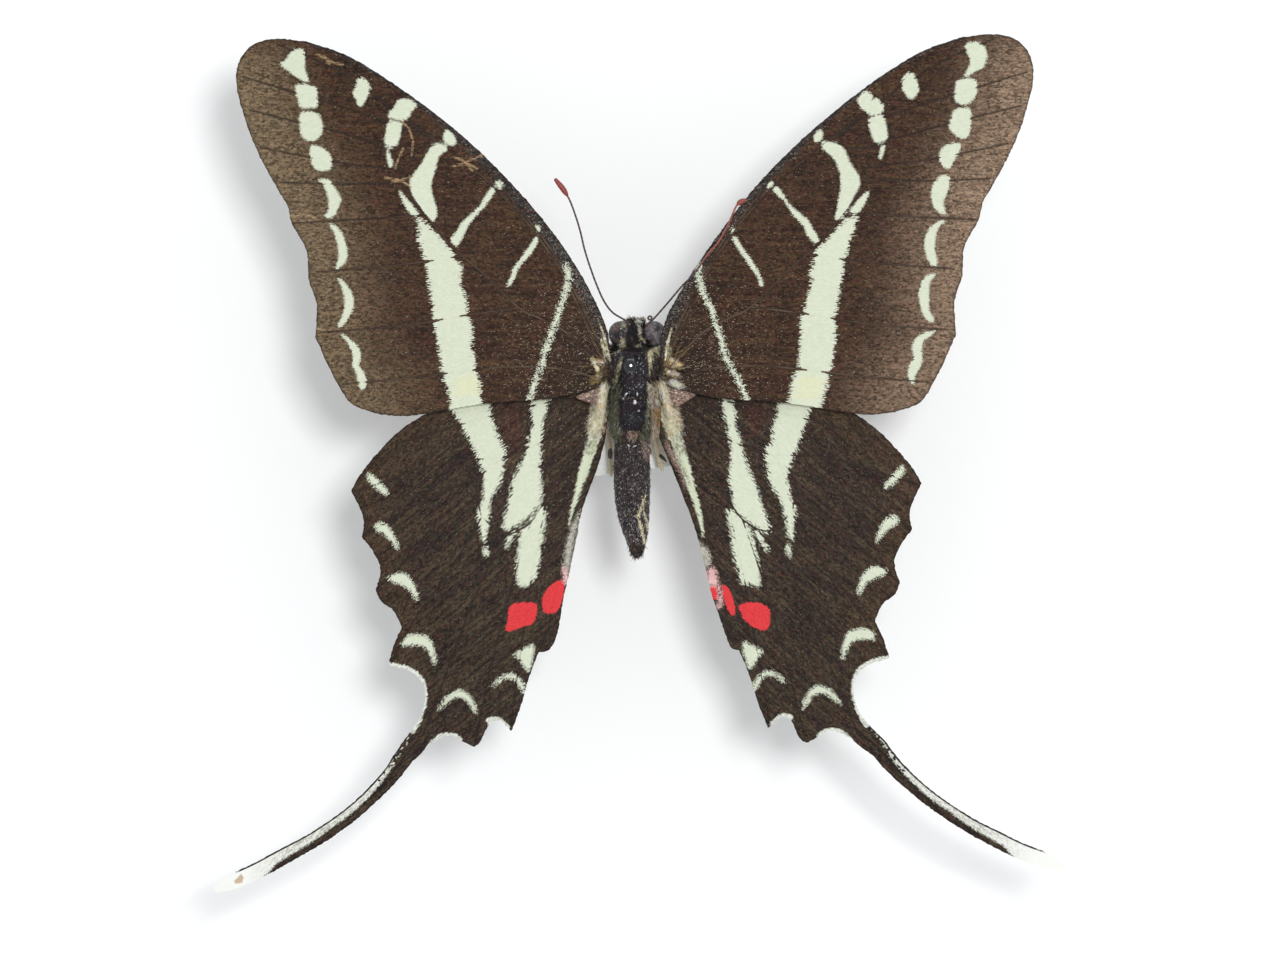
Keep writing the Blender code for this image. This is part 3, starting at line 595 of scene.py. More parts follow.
forePaleRight = [drawnRightFore(p) for p in (
    "964,46.7 970,44 976.7,44 982.5,48 985.8,56.7 984,65 980,70.8 973,74 965,78.3 962.5,77.5 966.7,70 "
    "969,63 966.7,56.7 964,51.7",
    "955,83 960,81 968,80 975,83 975.8,93 971.7,101.7 965,105.8 956.7,105 952.5,98 954,90",
    "951.7,113 958,110 968,109.7 970,116.7 969,130 965.8,139 956.7,139 950.8,133 946.7,126.7 950,120",
    "943,147.5 950.8,144.7 959,145 958,153 953,161.7 948,170 943,169 939,163 937.5,156.7 940,150.8",
    "937,178.6 943,176.4 948,178 948.6,184 945.7,195.7 943,200 942,205.7 945,215 938.6,214 933,208.6 "
    "930.7,201.4 930,194 932,185.7",
    "935,223.6 941.4,221.4 944,223 938.6,227 935,234 934,244 934,254 936.4,265 930.7,266.4 926.4,260 "
    "923.6,250 924,240 927,231.4",
    "924,278.6 928.6,275 933.6,274 933,278 929,283 928,291.4 928,301.4 928.6,311.4 933,320.7 927,322 "
    "921.4,314 918.6,304 918,294 920,284",
    "915.7,338 924,333 934,331.4 930,335.7 923,341.4 920.7,348.6 921.4,358.6 918.6,368.6 914,375.7 "
    "913,385 908,381.4 907,373 909,364 913,358.6 910.7,348.6 913,341.4",
    "904,76.7 908,73.7 912.5,75.8 915.8,83 917.5,91.7 914,99 908,100 904,95 900,88 900.8,81.7",
    "856.7,100 865,93 871.7,98 868,106.7 861.7,111.7 858,105.8",
    "863,108 870,101.7 876.7,100 882.5,107.5 880.8,114.6 870,117.2 864,113",
    "867.5,120.8 881.7,116.6 885,126.7 886.7,138 883,144 875,145 870.8,136.7",
    "880,147.5 884,146.7 883,153 880,160.8 877.5,158 879,153",
    "813,138 819,130.8 822.5,135 820,141.7 815,143",
    "820,145 826.7,141.7 838,145 845,153 850,165 858,176.7 859,186.7 853,198 846.7,211.7 838,221.7 "
    "834.7,218 836.7,206.7 839,193 840,180 836.7,166.7 831.7,158 823,150.8",
    "868,191.7 866.7,198 860,211.7 855,215.8 848,214 853,206.7 860,198",
    "765.8,185 770,181.7 773,184 770.8,188 767.5,189",
    "771.7,189 776.7,187.5 781.7,193 788,203 798,213 806.7,220 811.7,228 816.7,236.7 819,241.7 815,244 "
    "810,240 805.8,234 804,228 798,220.8 791.7,215 785,203 778,196.7",
    "730,230 733,226.7 735.8,229 733,234 730.8,234",
    "732,238.5 736,237 741.4,246.5 748.8,256.4 755.6,267 760,275 763,285 760,286 757,277 751,268.6 "
    "744.4,258.6 737.7,248.6",
)]
forePaleRight.append(np.vstack([drawnRightFore("845,220 838,227 831,236 824,244 815,248 813,262 809,275 "
                                               "812,280 810,288.6 805.7,300 804,308.6 800,318 800.7,330 "
                                               "800,343 798.6,353 798,368.6 793.6,376 791,386 789.5,396 "
                                               "786,414"),
                                 drawnRightFore("856.7,217 853,232 848,247 844,262 841.4,275 840,288.6 "
                                                "837.5,303 834.5,317 835.5,330 834.5,345 832,358.6 "
                                                "830.7,370 827.5,385 823.6,395.7 819,414")[::-1]]))
forePale.append(band(
    "418,218 419,230 420,243 424,255 427,268 430,285 432,300 434,318 437,335 440,352 442,368 446,382 "
    "450,395 452,412",
    "425,222 440,237 450,249 456,256 458,262 463,268 461,277 461,285 466,297 468,310 470,318 473,330 "
    "472,345 475,360 477,372 481,385 481,395 485,412"))
foreDusted = {
    -1: drawn("566,266 569,276 567,287 563,301 557,318 551,335 546,352 541,367 535,382 530,398"),
    1: drawnRightFore("698,266 699,278 702,290 708,302 713,314 716,325 720,336 724,352 729,364 737,378 "
                      "742,388 747,400"),
}
foreYellow = {
    -1: drawn("456,382 468,374 480,378 484,388 478,396 460,400 450,394"),
    1: drawnRightFore("793,380 806,373 826,378 824,391 812,400 795,396"),
}
foreRootLine = {  # a cream line behind the costa where it meets the body
    -1: drawn("595,312 599,322 603,333 606,345 608.6,355 611,362"),
    1: drawnRightFore("674,320 671.5,329 669,338 667,349 665.6,359"),
}
foreRubbed = [drawn(p) for p in (  # thin lines where the left forewing's scales are rubbed off
    "318,56 326,60 334,64 345,67", "326,58 331,66",
    "452,168 462,165 474,160 488,153", "455,158 466,163 478,170", "462,160 470,168 473,172",
    "386,179 396,180 404,183 412,188", "392,184 402,181 411,178",
    "402,122 410,130 414,142 413,156", "404,150 400,158 396,170",
    "300,331 312,329 322,330", "292,217 306,216 318,219",
)]
hindPale = [
    band("448,398 457,417 462,427 468,437 473,448 478,458 482,470 484,480 483,490 483,500 479,507 "
         "477,517 480,527 481,537 483,541",
         "484,394 491,415 495,428 499,440 504,447 505,458 503,470 501,480 498,488 492,496 490,508 "
         "489,520 488,530 486,540 485,542"),
    band("534,392 531,412 533,422 530,435 527,448 523,460 518,470 512,480 511,492 508,503 505,515 "
         "503,527 506,531",
         "549,392 546,412 543,422 542,435 541,450 540,465 541,478 542,490 541,500 536,508 528,517 "
         "518,525 508,531"),
] + [drawn(p) for p in (
    "541,505 545,509 546,518 544,528 543,540 541,552 539,562 537,572 533,581 527,586 519,586 516,578 "
    "516,566 518,552 519,540 522,530 530,520 536,512",
    "517,531 513,537 509,545 506,549 506,543 510,535",
    "483,548 488,548 488,556 484,555",
    "369,473 375,477 383,485 388,492 386,495 378,490 371,483 368,478",
    "375,527 380,522 387,525 393,533 397,542 399,548 396,548 390,540 382,533 377,531",
    "388,578 396,573 405,574 411,579 416,588 418,599 415,599 410,590 402,585 393,582",
    "401,645 404,638 411,635 422,635 430,640 434,650 436,662 433,664 430,655 425,648 417,645 407,646",
    "437,711 443,701 450,694 460,690.5 468,695 474,704 476,714 472,710 467,702 459,698 451,700 444,706",
    "493,687 497,680 503,676 510,674 518,678 524,686 525,695 520,690 516,682 510,679 503,680 498,684",
    "514,655 522,650 532,645 534,650 532,662 529,672 524,668 519,660",
)]
hindPaleRight = [drawnRight(p) for p in (
    "786,390 778,405 776.7,416.7 772.5,428 771.7,443 765.8,448 765.3,458 767.5,468 769,480 773,488 "
    "778,495 781.7,501.7 784,511.7 785.8,521.7 787.5,533 790.8,539 793.3,538 793.3,528 795,520 795.8,510 "
    "793.3,503 790,495 789,485 786.7,476.7 790,468 792.5,458 795.8,451.7 800,440 803.3,430 807.5,416.7 "
    "811.7,406.7 817,392",
    "720.5,390 723.3,405 724.2,415 727.5,425 728.3,435 730.8,445 731.2,458 730,470 729,478 730.8,488 "
    "732.5,498 733.3,506.7 740,515 748.3,521.7 756.7,528 766.7,532 770,532 769,526.7 766.7,516.7 "
    "762.5,505 758.3,491.7 753.3,478 747.5,465 743.3,451.7 739.2,435 735.5,424 736,413 733,404 731,390",
    "727.5,511.7 732.5,510 738.3,515 745,521.7 750,528 752.5,535 755.8,546.7 758.3,560 760,571.7 "
    "760.8,583 758.3,587 750,584 741.7,585 739.2,573 735.8,561.7 732.5,545 730,528",
    "755,531.7 760,533 763.3,540 767.5,546.7 768.3,551.7 765,547.5 760.5,541",
    "786.7,545 790,545.8 791.7,553 790,557.5 786.7,553",
)]
hindFringe = [smoothLine(drawn(p), 20) for p in (  # white fringe along these stretches of the margin
    "390,666 405,669 419,678 424,695 420,715 412,731",
    "430,747 440,738 452,737 459,741",
    "489,722 497,721 506,728",
)]
hindInner = {  # the pale band beside the inner edge
    -1: band("592,400 591.5,418 590.5,432 585.5,449 580.5,464 577.5,480 573.5,497 570.5,512 568.5,525",
             "610,400 605.5,417 601.5,432 596,449 590.5,465 584.5,481 578.5,497 573,512 569.5,526"),
    1: drawnRight("661,406 671,410 677,425 684.5,449 690,466 693.5,482 697.5,497 701.5,512 703.6,528 "
                  "703,537 701.5,530 698.5,518 694,504 689.5,492 685.5,480 681,468 676.5,457 671.5,444 "
                  "666.5,431 662,420"),
}
hindFold = {  # the rosy underside showing where the inner edge is rolled over
    1: [drawnRight("665,441 668.3,443 674,452 679.5,464 684.5,477 687.5,488 684.5,486 679.5,475 674,464 "
                   "668.5,452")],
    -1: [],
}
hindMoss = {  # a mossy line between the fold and the band
    1: [drawnRight("663,431 666,435 674,449 680,459.5 685.5,472 690,484 688,483 683,472 677.4,461 "
                   "671,449")],
    -1: [],
}
hindHoar = {  # white hair on the inner edge
    1: [drawnRight("696.7,540 703,545 710,551.7 712,561.7 706.7,571.7 701.7,563.3")],
    -1: [drawn("580,509 578.5,523.5 574.6,541 571.5,559 568.8,573 562.5,573 563.4,556 567,538 572,524")],
}
hindRed = {
    -1: [drawn("556.8,581 563,582 564.3,589 562,601 557.7,611 553,614 544,613 541.6,604 543,596 548,588"),
         drawn("512,604 530,602.5 536.6,605 536.6,614 532.5,624 520,628 510,631.5 504.6,631 507,623 "
               "508,612")],
    1: [drawnRight("722.5,584 728.3,588.3 733.3,598.3 735.8,613 732.5,615.8 728.3,611.7 725,601.7 "
                   "722.5,591.7"),
        drawnRight("740,605 755,602.5 768,606.7 770.8,618.3 768,629.2 761.7,630.8 751.7,626.7 "
                   "743.3,618.3 739.6,610"),
        drawnRight("710,587.5 716.7,585.8 718.3,598.3 714.2,600 711,593.3")],
}
hindWarm = {
    -1: drawn("503,402 518,400 525,415 522,440 512,456 503,440 498,420"),
    1: drawnRight("744,402 760,402 765,416 762,432 754,438 746,420"),
}
hindPink = {
    -1: [drawn("562.5,566 566.5,570 568.6,577 566.6,585 562.5,582 562,574")],
    1: [drawnRight("708,571 711.7,566.7 716.7,570 718.3,580 722,591.7 723,606.7 716.7,608.3 718.3,600 "
                   "716.7,588.3 710,586.7 706.5,580")],
}


def placeFore(points, side):
    return turnedPlan(points, wingForm["forePivot"], wingForm["foreTurn"][side],
                      wingForm["foreSize"][side])


def placeHind(points, side):
    return turnedPlan(points, wingForm["hindPivot"], wingForm["hindTurn"][side])


def placedTail(side):
    base = np.array(tailLine[0])
    line = turnedPlan(smoothLine(tailLine, 60), base, wingForm["tailTurn"][side],
                      wingForm["tailSize"][side])
    line = placeHind(line, side)
    along = np.gradient(line, axis=0)
    outwards = np.column_stack([-along[:, 1], along[:, 0]]) / np.linalg.norm(along, axis=1)[:, None]
    return line + outwards * readTable(tailSway[side], np.linspace(0, 1, len(line)))[:, None]


def veinLines(veins, place, side, outline, rootRadius, tipRadius):
    lines, radii = [], []
    for vein in veins:
        line = place(smoothLine(vein, 12 * (len(vein) - 1)), side)
        rim, _, _ = lineDistance(line, np.vstack([outline, outline[:1]]))
        line = line[insideOutline(line, outline) & (rim > 0.12)]
        if len(line) < 3:
            continue
        away = np.hypot(line[:, 0] - 2.5, line[:, 1])
        lines.append(line)
        middleRadius = (rootRadius + tipRadius) * 0.5
        radii.append(np.interp(away, [0, 12, 30], [rootRadius, middleRadius, tipRadius]))
    return lines, radii


def wing(name, side, outline, veins, height, marks):
    # one wing: its membrane, and its veins standing a little out of both faces
    step = wingForm["mesh"]
    ragged = roughEdge(outline, 7 + side)
    ragged[:, 1] = np.minimum(ragged[:, 1], cadBox[1][1] / millimetre - 0.01)
    sheet = clippedSheet(name, ragged, step)
    bm = veinTubes(*veins)
    bm.from_mesh(sheet)
    bpy.data.meshes.remove(sheet)
    mesh = meshFrom(name, bm, 1.0)
    points = meshPoints(mesh)
    plan = points[:, :2].copy()
    isTube = np.abs(points[:, 2]) < 0.5
    rim, _, _ = lineDistance(plan, np.vstack([outline, outline[:1]]))
    nearest = np.full(len(plan), 9.0)
    for line in veins[0]:
        far, _, _ = lineDistance(plan, line)
        nearest = np.minimum(nearest, far)
    hang = wingForm["sag"] * (1 - np.exp(-(nearest / wingForm["sagReach"]) ** 2))
    hang = hang * np.clip(rim / 2.5, 0, 1)
    middle = height(plan) - hang
    half = np.interp(rim, [0, 1.2], [wingForm["edgeThickness"], wingForm["halfThickness"]])
    points[:, 2] = np.where(isTube, middle + points[:, 2] * 0.8 + 0.03,
                            middle + np.sign(points[:, 2]) * half)
    points[:, 0] *= side
    mesh.vertices.foreach_set("co", (points * millimetre).ravel())
    if side < 0:
        mesh.flip_normals()
    mesh.update()
    for label, values in marks(plan).items():
        addValues(mesh, label, values)
    addValues(mesh, "vein", np.where(isTube, 0.0, nearest))
    addValues(mesh, "rim", rim)
    softShade(mesh)
    obj = newObject(name, mesh)
    normals = np.empty(len(mesh.polygons) * 3)
    mesh.polygons.foreach_get("normal", normals)
    mesh.polygons.foreach_set("material_index", (normals.reshape(-1, 3)[:, 2] < -0.1).astype(np.int32))
    print(name, "has", len(mesh.polygons), "faces")
    return obj


def joinedEdge(stretches):
    # the points of stretches that follow one another, each shared corner once
    return np.vstack([stretches[0][1]] + [points[1:] for _, points in stretches[1:]])


def foreMarks(side):
    def read(plan):
        own = unturnedPlan(plan, wingForm["forePivot"], wingForm["foreTurn"][side],
                           wingForm["foreSize"][side])
        margin = smoothLine(joinedEdge(foreEdge[3:6])[:-1], 80)
        costa = smoothLine(joinedEdge(foreEdge[:2]), 60)
        pale = forePale if side < 0 else forePaleRight
        far, where, share = lineDistance(own, smoothLine(foreRootLine[side], 20))
        beyond = np.where((share > 0.005) & (share < 0.995), 0.0, 0.3)
        onRight = (side > 0) * 9  # rubbed on the left wing only
        return {
            "pale": patchesDepth(own, pale[-1:]),
            "spots": patchesDepth(own, [smoothLoop(p, 3) for p in pale[:-1]]),
            "dusted": lineDistance(own, smoothLine(foreDusted[side], 30))[0],
            "yellow": patchDepth(own, smoothLoop(foreYellow[side], 3)),
            "rootLine": (far + beyond) * where,
            "rootFade": share,
            "rubbed": np.min([lineDistance(own, line)[0] for line in foreRubbed], axis=0) + onRight,
            "margin": lineDistance(own, margin)[0],
            "costa": lineDistance(own, costa)[0],
            "root": np.hypot(own[:, 0] - 2.4, own[:, 1] - 1.2),
        }
    return read


def hindMarks(side):
    tail = placedTail(side)

    def read(plan):
        own = unturnedPlan(plan, wingForm["hindPivot"], wingForm["hindTurn"][side])
        far, where, share = lineDistance(plan, tail)
        onTail = share > 0.001
        half = readTable(tailWidths, share) / 2
        fringe = np.full(len(plan), 3.0)
        for line in hindFringe:
            fringe = np.minimum(fringe, lineDistance(own, line)[0])
        margin = smoothLine(joinedEdge(hindEdge[1:6])[1:], 80)
        inner = smoothLine(hindInnerEdge[side][1][1], 40)
        pale = hindPale if side < 0 else hindPaleRight + hindPale[5:]
        tag = drawn("231,884 239,875.5 241,880 240,885 233,887")
        return {
            "pale": patchesDepth(own, [smoothLoop(p, 2) for p in pale[:4]]),
            "innerBand": patchDepth(own, smoothLoop(hindInner[side], 2)),
            "spots": patchesDepth(own, [smoothLoop(p, 2) for p in pale[4:]]),
            "fold": patchesDepth(own, [smoothLoop(p, 2) for p in hindFold[side]]),
            "moss": patchesDepth(own, [smoothLoop(p, 2) for p in hindMoss[side]]),
            "hoar": patchesDepth(own, [smoothLoop(p, 2) for p in hindHoar[side]]),
            "warm": patchDepth(own, smoothLoop(hindWarm[side], 3)),
            "red": patchesDepth(own, [smoothLoop(p, 3) for p in hindRed[side]]),
            "pink": patchesDepth(own, [smoothLoop(p, 3) for p in hindPink[side]]),
            "margin": lineDistance(own, margin)[0],
            "inner": lineDistance(own, inner)[0],
            "fringe": fringe,
            "root": np.hypot(own[:, 0] - 2.4, own[:, 1] + 1.4),
            "tailEdge": np.where(onTail, half - far * where, 9.0),
            "tailAlong": np.where(onTail, share, 0.0),
            "tailTag": patchDepth(own, tag) - (side > 0) * 9,  # on the left tail only
        }
    return read


# Wings: finish

wingTone = {
    "dark": colour(60, 40, 30), "darker": colour(42, 28, 23), "light": colour(114, 98, 76),
    "streak": colour(77, 58, 38),
    "pale": colour(213, 218, 197), "paleShade": colour(188, 195, 172), "yellow": colour(221, 217, 158),
    "cream": colour(222, 211, 178),
    "russet": colour(72, 34, 27), "mossy": colour(60, 52, 30),
    "veinDark": colour(30, 24, 23), "veinLight": colour(100, 82, 66), "spark": colour(150, 140, 122),
    "costa": colour(44, 42, 42), "costaFleck": colour(112, 112, 106), "rubbed": colour(186, 156, 118),
    "red": colour(226, 66, 69), "redShade": colour(196, 50, 55), "pink": colour(238, 204, 200),
    "pinkShade": colour(214, 160, 160),
    "hoar": colour(226, 224, 208), "hoarShade": colour(150, 144, 134), "rootBlack": colour(34, 28, 27),
    "speck": colour(166, 150, 128), "fold": colour(196, 172, 158), "foldShade": colour(138, 112, 102),
    "moss": colour(112, 116, 84), "mossShade": colour(70, 70, 52),
    "buff": colour(214, 204, 176), "green": colour(204, 210, 184), "white": colour(226, 226, 219),
    "end": colour(243, 243, 240),
    "hindDark": colour(47, 38, 34), "hindDarker": colour(32, 26, 26), "hindStreak": colour(76, 66, 48),
    "warm": colour(80, 37, 36),
}


def wingMaterial(name, angle, hind, under, outerTone=None):
    tone = wingTone
    material, shader = newMaterial(name)
    rows = placeRows(0.085, 0.42, angle, 0.012)
    mottle = placeRows(0.155, 0.25, angle, 0.012)
    fine = placeRows(0.05, 0.10, angle, 0.014)
    folds = placeRows(0.32, 5.0, angle, 0.0)
    grain, teeth, cloud = fine["Grain"], rows["Teeth"], rows["Cloud"]
    wander = minus(teeth, 0.5)
    vein = readValue("vein")
    # ground: broad clouds, streaks along the folds, and a tone for each scale
    ground = mixColour(spread(cloud, 0.35, 0.65), tone["hindDark" if hind else "dark"],
                       tone["hindDarker" if hind else "darker"])
    streak = spread(folds["Teeth"], 0.42, 0.70, 0.0, 0.6)
    ground = mixColour(streak, ground, tone["hindStreak" if hind else "streak"])
    if hind:
        lighter = spread(readValue("margin"), 0.5, 4.5, 0.25, 0.0, True)
        ground = mixColour(lighter, ground, tone["streak"])
        warm = spread(plus(readValue("warm"), times(wander, 2.0)), -0.3, 0.7, 0.0, 0.34, True)
        ground = mixColour(warm, ground, tone["warm"])
    else:
        outer = plus(readValue("margin"), times(minus(folds["Teeth"], 0.5), 5.0))
        faded = times(spread(outer, 0.5, 9.5, 0.9, 0.0, True),
                      spread(readValue("root"), 18.0, 34.0, 0.62, 1.0))
        ground = mixColour(faded, ground, outerTone)
        costa = readValue("costa")
        wide = spread(readValue("root"), 20.0, 33.0, 1.0, 0.25)
        costa = over(costa, wide)
        ground = mixColour(spread(plus(costa, wander), 0.8, 1.2, 0.9, 0.0, True), ground, tone["costa"])
        tan = spread(calc("ABSOLUTE", minus(costa, 1.3)), 0.02, 0.12, 0.5, 0.0)
        ground = mixColour(times(tan, spread(readValue("root"), 4.0, 22.0, 1.0, 0.3)), ground,
                           tone["veinLight"])
        near = times(spread(costa, 0.4, 1.9, 1.0, 0.0, True),
                     spread(readValue("root"), 10.0, 20.0, 1.0, 0.35))
        fleck = above(plus(fine["Grain"], times(near, 0.20)), 1.0)
        ground = mixColour(times(fleck, 0.8), ground, tone["costaFleck"])
    scaleTone = plus(times(grain, 0.35), times(mottle["Grain"], 0.65))
    tint = spread(rows["Grain"], 0.7, 1.0, 0.0, 0.55)
    ground = mixColour(tint, ground, tone["russet"])
    tint = spread(rows["Grain"], 0.3, 0.0, 0.0, 0.45)
    ground = mixColour(tint, ground, tone["mossy"])
    ground = mixColour(1.0, ground, mixColour(scaleTone, (0.14, 0.13, 0.13, 1), (2.00, 2.02, 2.02, 1)),
                       "MULTIPLY")
    ground = mixColour(times(fine["Spark"], spread(readValue("root"), 6.0, 20.0, 0.7, 0.35)), ground,
                       tone["spark"])
    if not hind:
        nearRoot = readValue("root")
        ground = mixColour(spread(plus(nearRoot, times(wander, 4.0)), 2.5, 9.0, 0.5, 0.0, True), ground,
                           tone["rootBlack"])
        speck = above(plus(grain, spread(nearRoot, 2.0, 12.0, 0.055, 0.002)), 1.0)
        ground = mixColour(times(speck, 0.8), ground, tone["speck"])
    # veins: a dark line beside each vein, partly its own colour and partly painted shade at the foot of its
    # ridge, and a painted highlight along the ridge, patchy and strongest near the root
    rooted = spread(readValue("root"), 14.0, 32.0, 1.0, 0.25)
    ground = mixColour(spread(vein, 0.02, 0.17, 0.75, 0.0, True), ground, tone["veinDark"])
    # the patchy painted highlight along each vein's ridge
    highlightAndRubbed = spread(cloud, 0.35, 0.6, 0.1, 0.25 if hind else 0.75)
    ridge = times(spread(vein, 0.0, 0.04, 1.0, 0.0), times(rooted, highlightAndRubbed))
    ground = mixColour(ridge, ground, tone["veinLight"])
    ground = mixColour(spread(readValue("rim"), 0.05, 0.22, 0.55, 0.0, True), ground, tone["veinDark"])
    # pale markings: the bands end in ragged teeth along the rows, the spots in single scales
    eaten = times(spread(vein, 0.0, 0.12 if hind else 0.20, 0.45 if hind else 1.0, 0.0, True),
                  plus(spread(cloud, 0.4, 0.6, 0.35, 0.9), times(wander, 1.6)))
    paleEdge = minus(plus(readValue("pale"), times(wander, 1.7)), eaten)
    spotEdge = plus(readValue("spots"), plus(times(wander, 0.40 if hind else 0.24),
                                             times(minus(grain, 0.5), 0.42 if hind else 0.22)))
    spotEdge = minus(spotEdge, spread(vein, 0.0, 0.16, 0.14, 0.0))
    pale = most(spread(paleEdge, -0.05, 0.05), spread(spotEdge, -0.05, 0.05))
    if hind:
        beside = plus(readValue("innerBand"), times(wander, 0.8))
        pale = most(pale, spread(beside, -0.08, 0.05))
    paleTone = mixColour(spread(scaleTone, 0, 1, 0.0, 0.55), tone["pale"], tone["paleShade"])
    if hind:
        rootBuff = spread(readValue("root"), 2.5, 6.5, 0.8, 0.0, True)
        nearInner = spread(readValue("inner"), 1.8, 3.2, 1.0, 0.0, True)
        paleTone = mixColour(nearInner, paleTone, mixColour(rootBuff, tone["green"], tone["buff"]))
        fringeEdge = plus(readValue("fringe"), times(wander, 0.6))
        fringe = spread(fringeEdge, 0.26, 0.34, 1.0, 0.0)
        # the tail: a white stripe inside its dark outer edge, scattered at first, and a white end
        along, edge = readValue("tailAlong"), readValue("tailEdge")
        loose = plus(times(wander, 0.3), times(minus(grain, 0.5), 0.22))
        inner = spread(along, 0.0, 0.36, 0.36, 0.68)
        inner = plus(inner, spread(along, 0.5, 0.74, 0.0, 0.36))
        inner = plus(inner, spread(along, 0.74, 0.83, 0.0, 1.0))
        stripe = times(spread(minus(plus(inner, loose), edge), -0.05, 0.05),
                      spread(edge, 0.13, 0.18))
        enough = above(plus(spread(along, 0.0, 0.27, 0.24, 0.80), times(mottle["Grain"], 0.6)), 0.8)
        tailWhite = times(stripe, times(enough, above(along, 0.002)))
        tip = spread(plus(along, times(wander, 0.1)), 0.86, 0.89)
        tailWhite = most(tailWhite, tip)
        whiter = most(times(tailWhite, spread(along, 0.02, 0.2, 0.4, 0.9)), times(fringe, 0.7))
        dappled = mixColour(spread(scaleTone, 0.35, 0.8), tone["white"], colour(168, 168, 160))
        ending = mixColour(spread(along, 0.66, 0.86), dappled, tone["end"])
        paleTone = mixColour(whiter, paleTone, ending)
        tag = plus(readValue("tailTag"), times(wander, 0.3))
        paleTone = mixColour(spread(tag, -0.05, 0.08, 0.0, 0.8), paleTone, tone["rubbed"])
        pale = most(pale, most(fringe, tailWhite))
    else:
        yellow = plus(readValue("yellow"), times(minus(folds["Teeth"], 0.5), 3.0))
        yellow = spread(yellow, -0.4, 0.7, 0.0, 0.34, True)
        paleTone = mixColour(yellow, paleTone, tone["yellow"])
        # the dusted stripe is made of single pale scales, densest in its middle
        dust = spread(readValue("dusted"), 0.02, 0.60, 0.74, 0.0)
        pale = most(pale, above(plus(dust, plus(times(grain, 0.6), times(mottle["Grain"], 0.4))), 1.0))
    top = mixColour(pale, ground, paleTone)
    if hind:
        redEdge = plus(readValue("red"), times(wander, 0.5))
        top = mixColour(spread(redEdge, -0.02, 0.05), top,
                        mixColour(grain, tone["red"], tone["redShade"]))
        loose = times(minus(grain, 0.55), 0.5)
        for name, strength in (("moss", 0.8), ("fold", 0.8), ("hoar", 0.75), ("pink", 0.9)):
            edge = plus(readValue(name), loose)
            top = mixColour(spread(edge, -0.05, 0.12, 0.0, strength), top,
                            mixColour(scaleTone, tone[name], tone[name + "Shade"]))
    else:
        line = calc("ABSOLUTE", plus(readValue("rootLine"), times(minus(cloud, 0.5), 0.2)))
        line = times(spread(line, 0.05, 0.13, 0.9, 0.0),
                     spread(plus(readValue("rootFade"), wander), 0.15, 0.5))
        top = mixColour(line, top, tone["cream"])
        highlightAndRubbed = plus(readValue("rubbed"), times(wander, 0.4))
        top = mixColour(spread(highlightAndRubbed, 0.0, 0.13, 0.75, 0.0), top, tone["rubbed"])
    if under:
        top = mixColour(0.25, top, colour(128, 104, 82))
    relief = plus(plus(times(fine["Relief"], 0.6), rows["Relief"]), times(folds["Teeth"], 3.0))
    finishShader(shader, top, spread(grain, 0, 1, 0.5, 0.75), 0.11, relief, 0.5, 0.00003)
    return material


def makeWings():
    for word, side in sides.items():
        stretches = list(foreEdge)
        if side > 0:
            stretches[1] = (40, foreFrontRight)
        edge = [placeFore(smoothLine(points, chords), side)[:-1] for chords, points in stretches]
        outline = np.vstack(edge + [placeFore([foreEdge[-1][1][-1], (2.5, 0.1), (2.4, 1.8)], side)])
        lines = veinLines(foreVeins, placeFore, side, outline, 0.155, 0.08)
        obj = wing("forewing" + word.title(), side, outline, lines, forewingHeight, foreMarks(side))
        outer = wingTone["light"] if side < 0 else colour(134, 113, 94)  # the right wing is more faded
        finishPiece(obj, [wingMaterial("forewingTop" + word.title(), 0, False, False, outer),
                                  wingMaterial("forewingUnder" + word.title(), 0, False, True, outer)],
                    ["forewing_" + word])
        tail = placedTail(side)
        share = np.linspace(0, 1, len(tail))
        half = readTable(tailWidths, share) / 2
        ribbon = ribbonOutline(tail[2:], half[2:], -half[2:])
        outerSide, innerSide = ribbon[:len(tail) - 2], ribbon[len(tail) - 2:]
        stretches = hindEdge + hindInnerEdge[side]
        edge = [placeHind(smoothLine(points, chords), side)[:-1] for chords, points in stretches]
        root = placeHind([hindInnerEdge[side][1][1][-1], (2.5, -2.6), (2.5, -0.5)], side)
        outline = np.vstack(edge[:7] + [outerSide, innerSide] + edge[7:] + [root])
        lines, radii = veinLines(hindVeins, placeHind, side, outline, 0.14, 0.075)
        lines.append(tail[:-3])
        radii.append(np.interp(share[:-3], [0, 1], [0.1, 0.05]))
        obj = wing("hindwing" + word.title(), side, outline, (lines, radii), hindwingHeight,
                   hindMarks(side))
        finishPiece(obj, [wingMaterial("hindwingTop" + word.title(), 40 * side, True, False),
                                  wingMaterial("hindwingUnder" + word.title(), 40 * side, True, True)],
                    ["hindwing_" + word, "tail_" + word])
    print("wings made")


makeWings()


# Body: one skin from the face to the tip of the abdomen

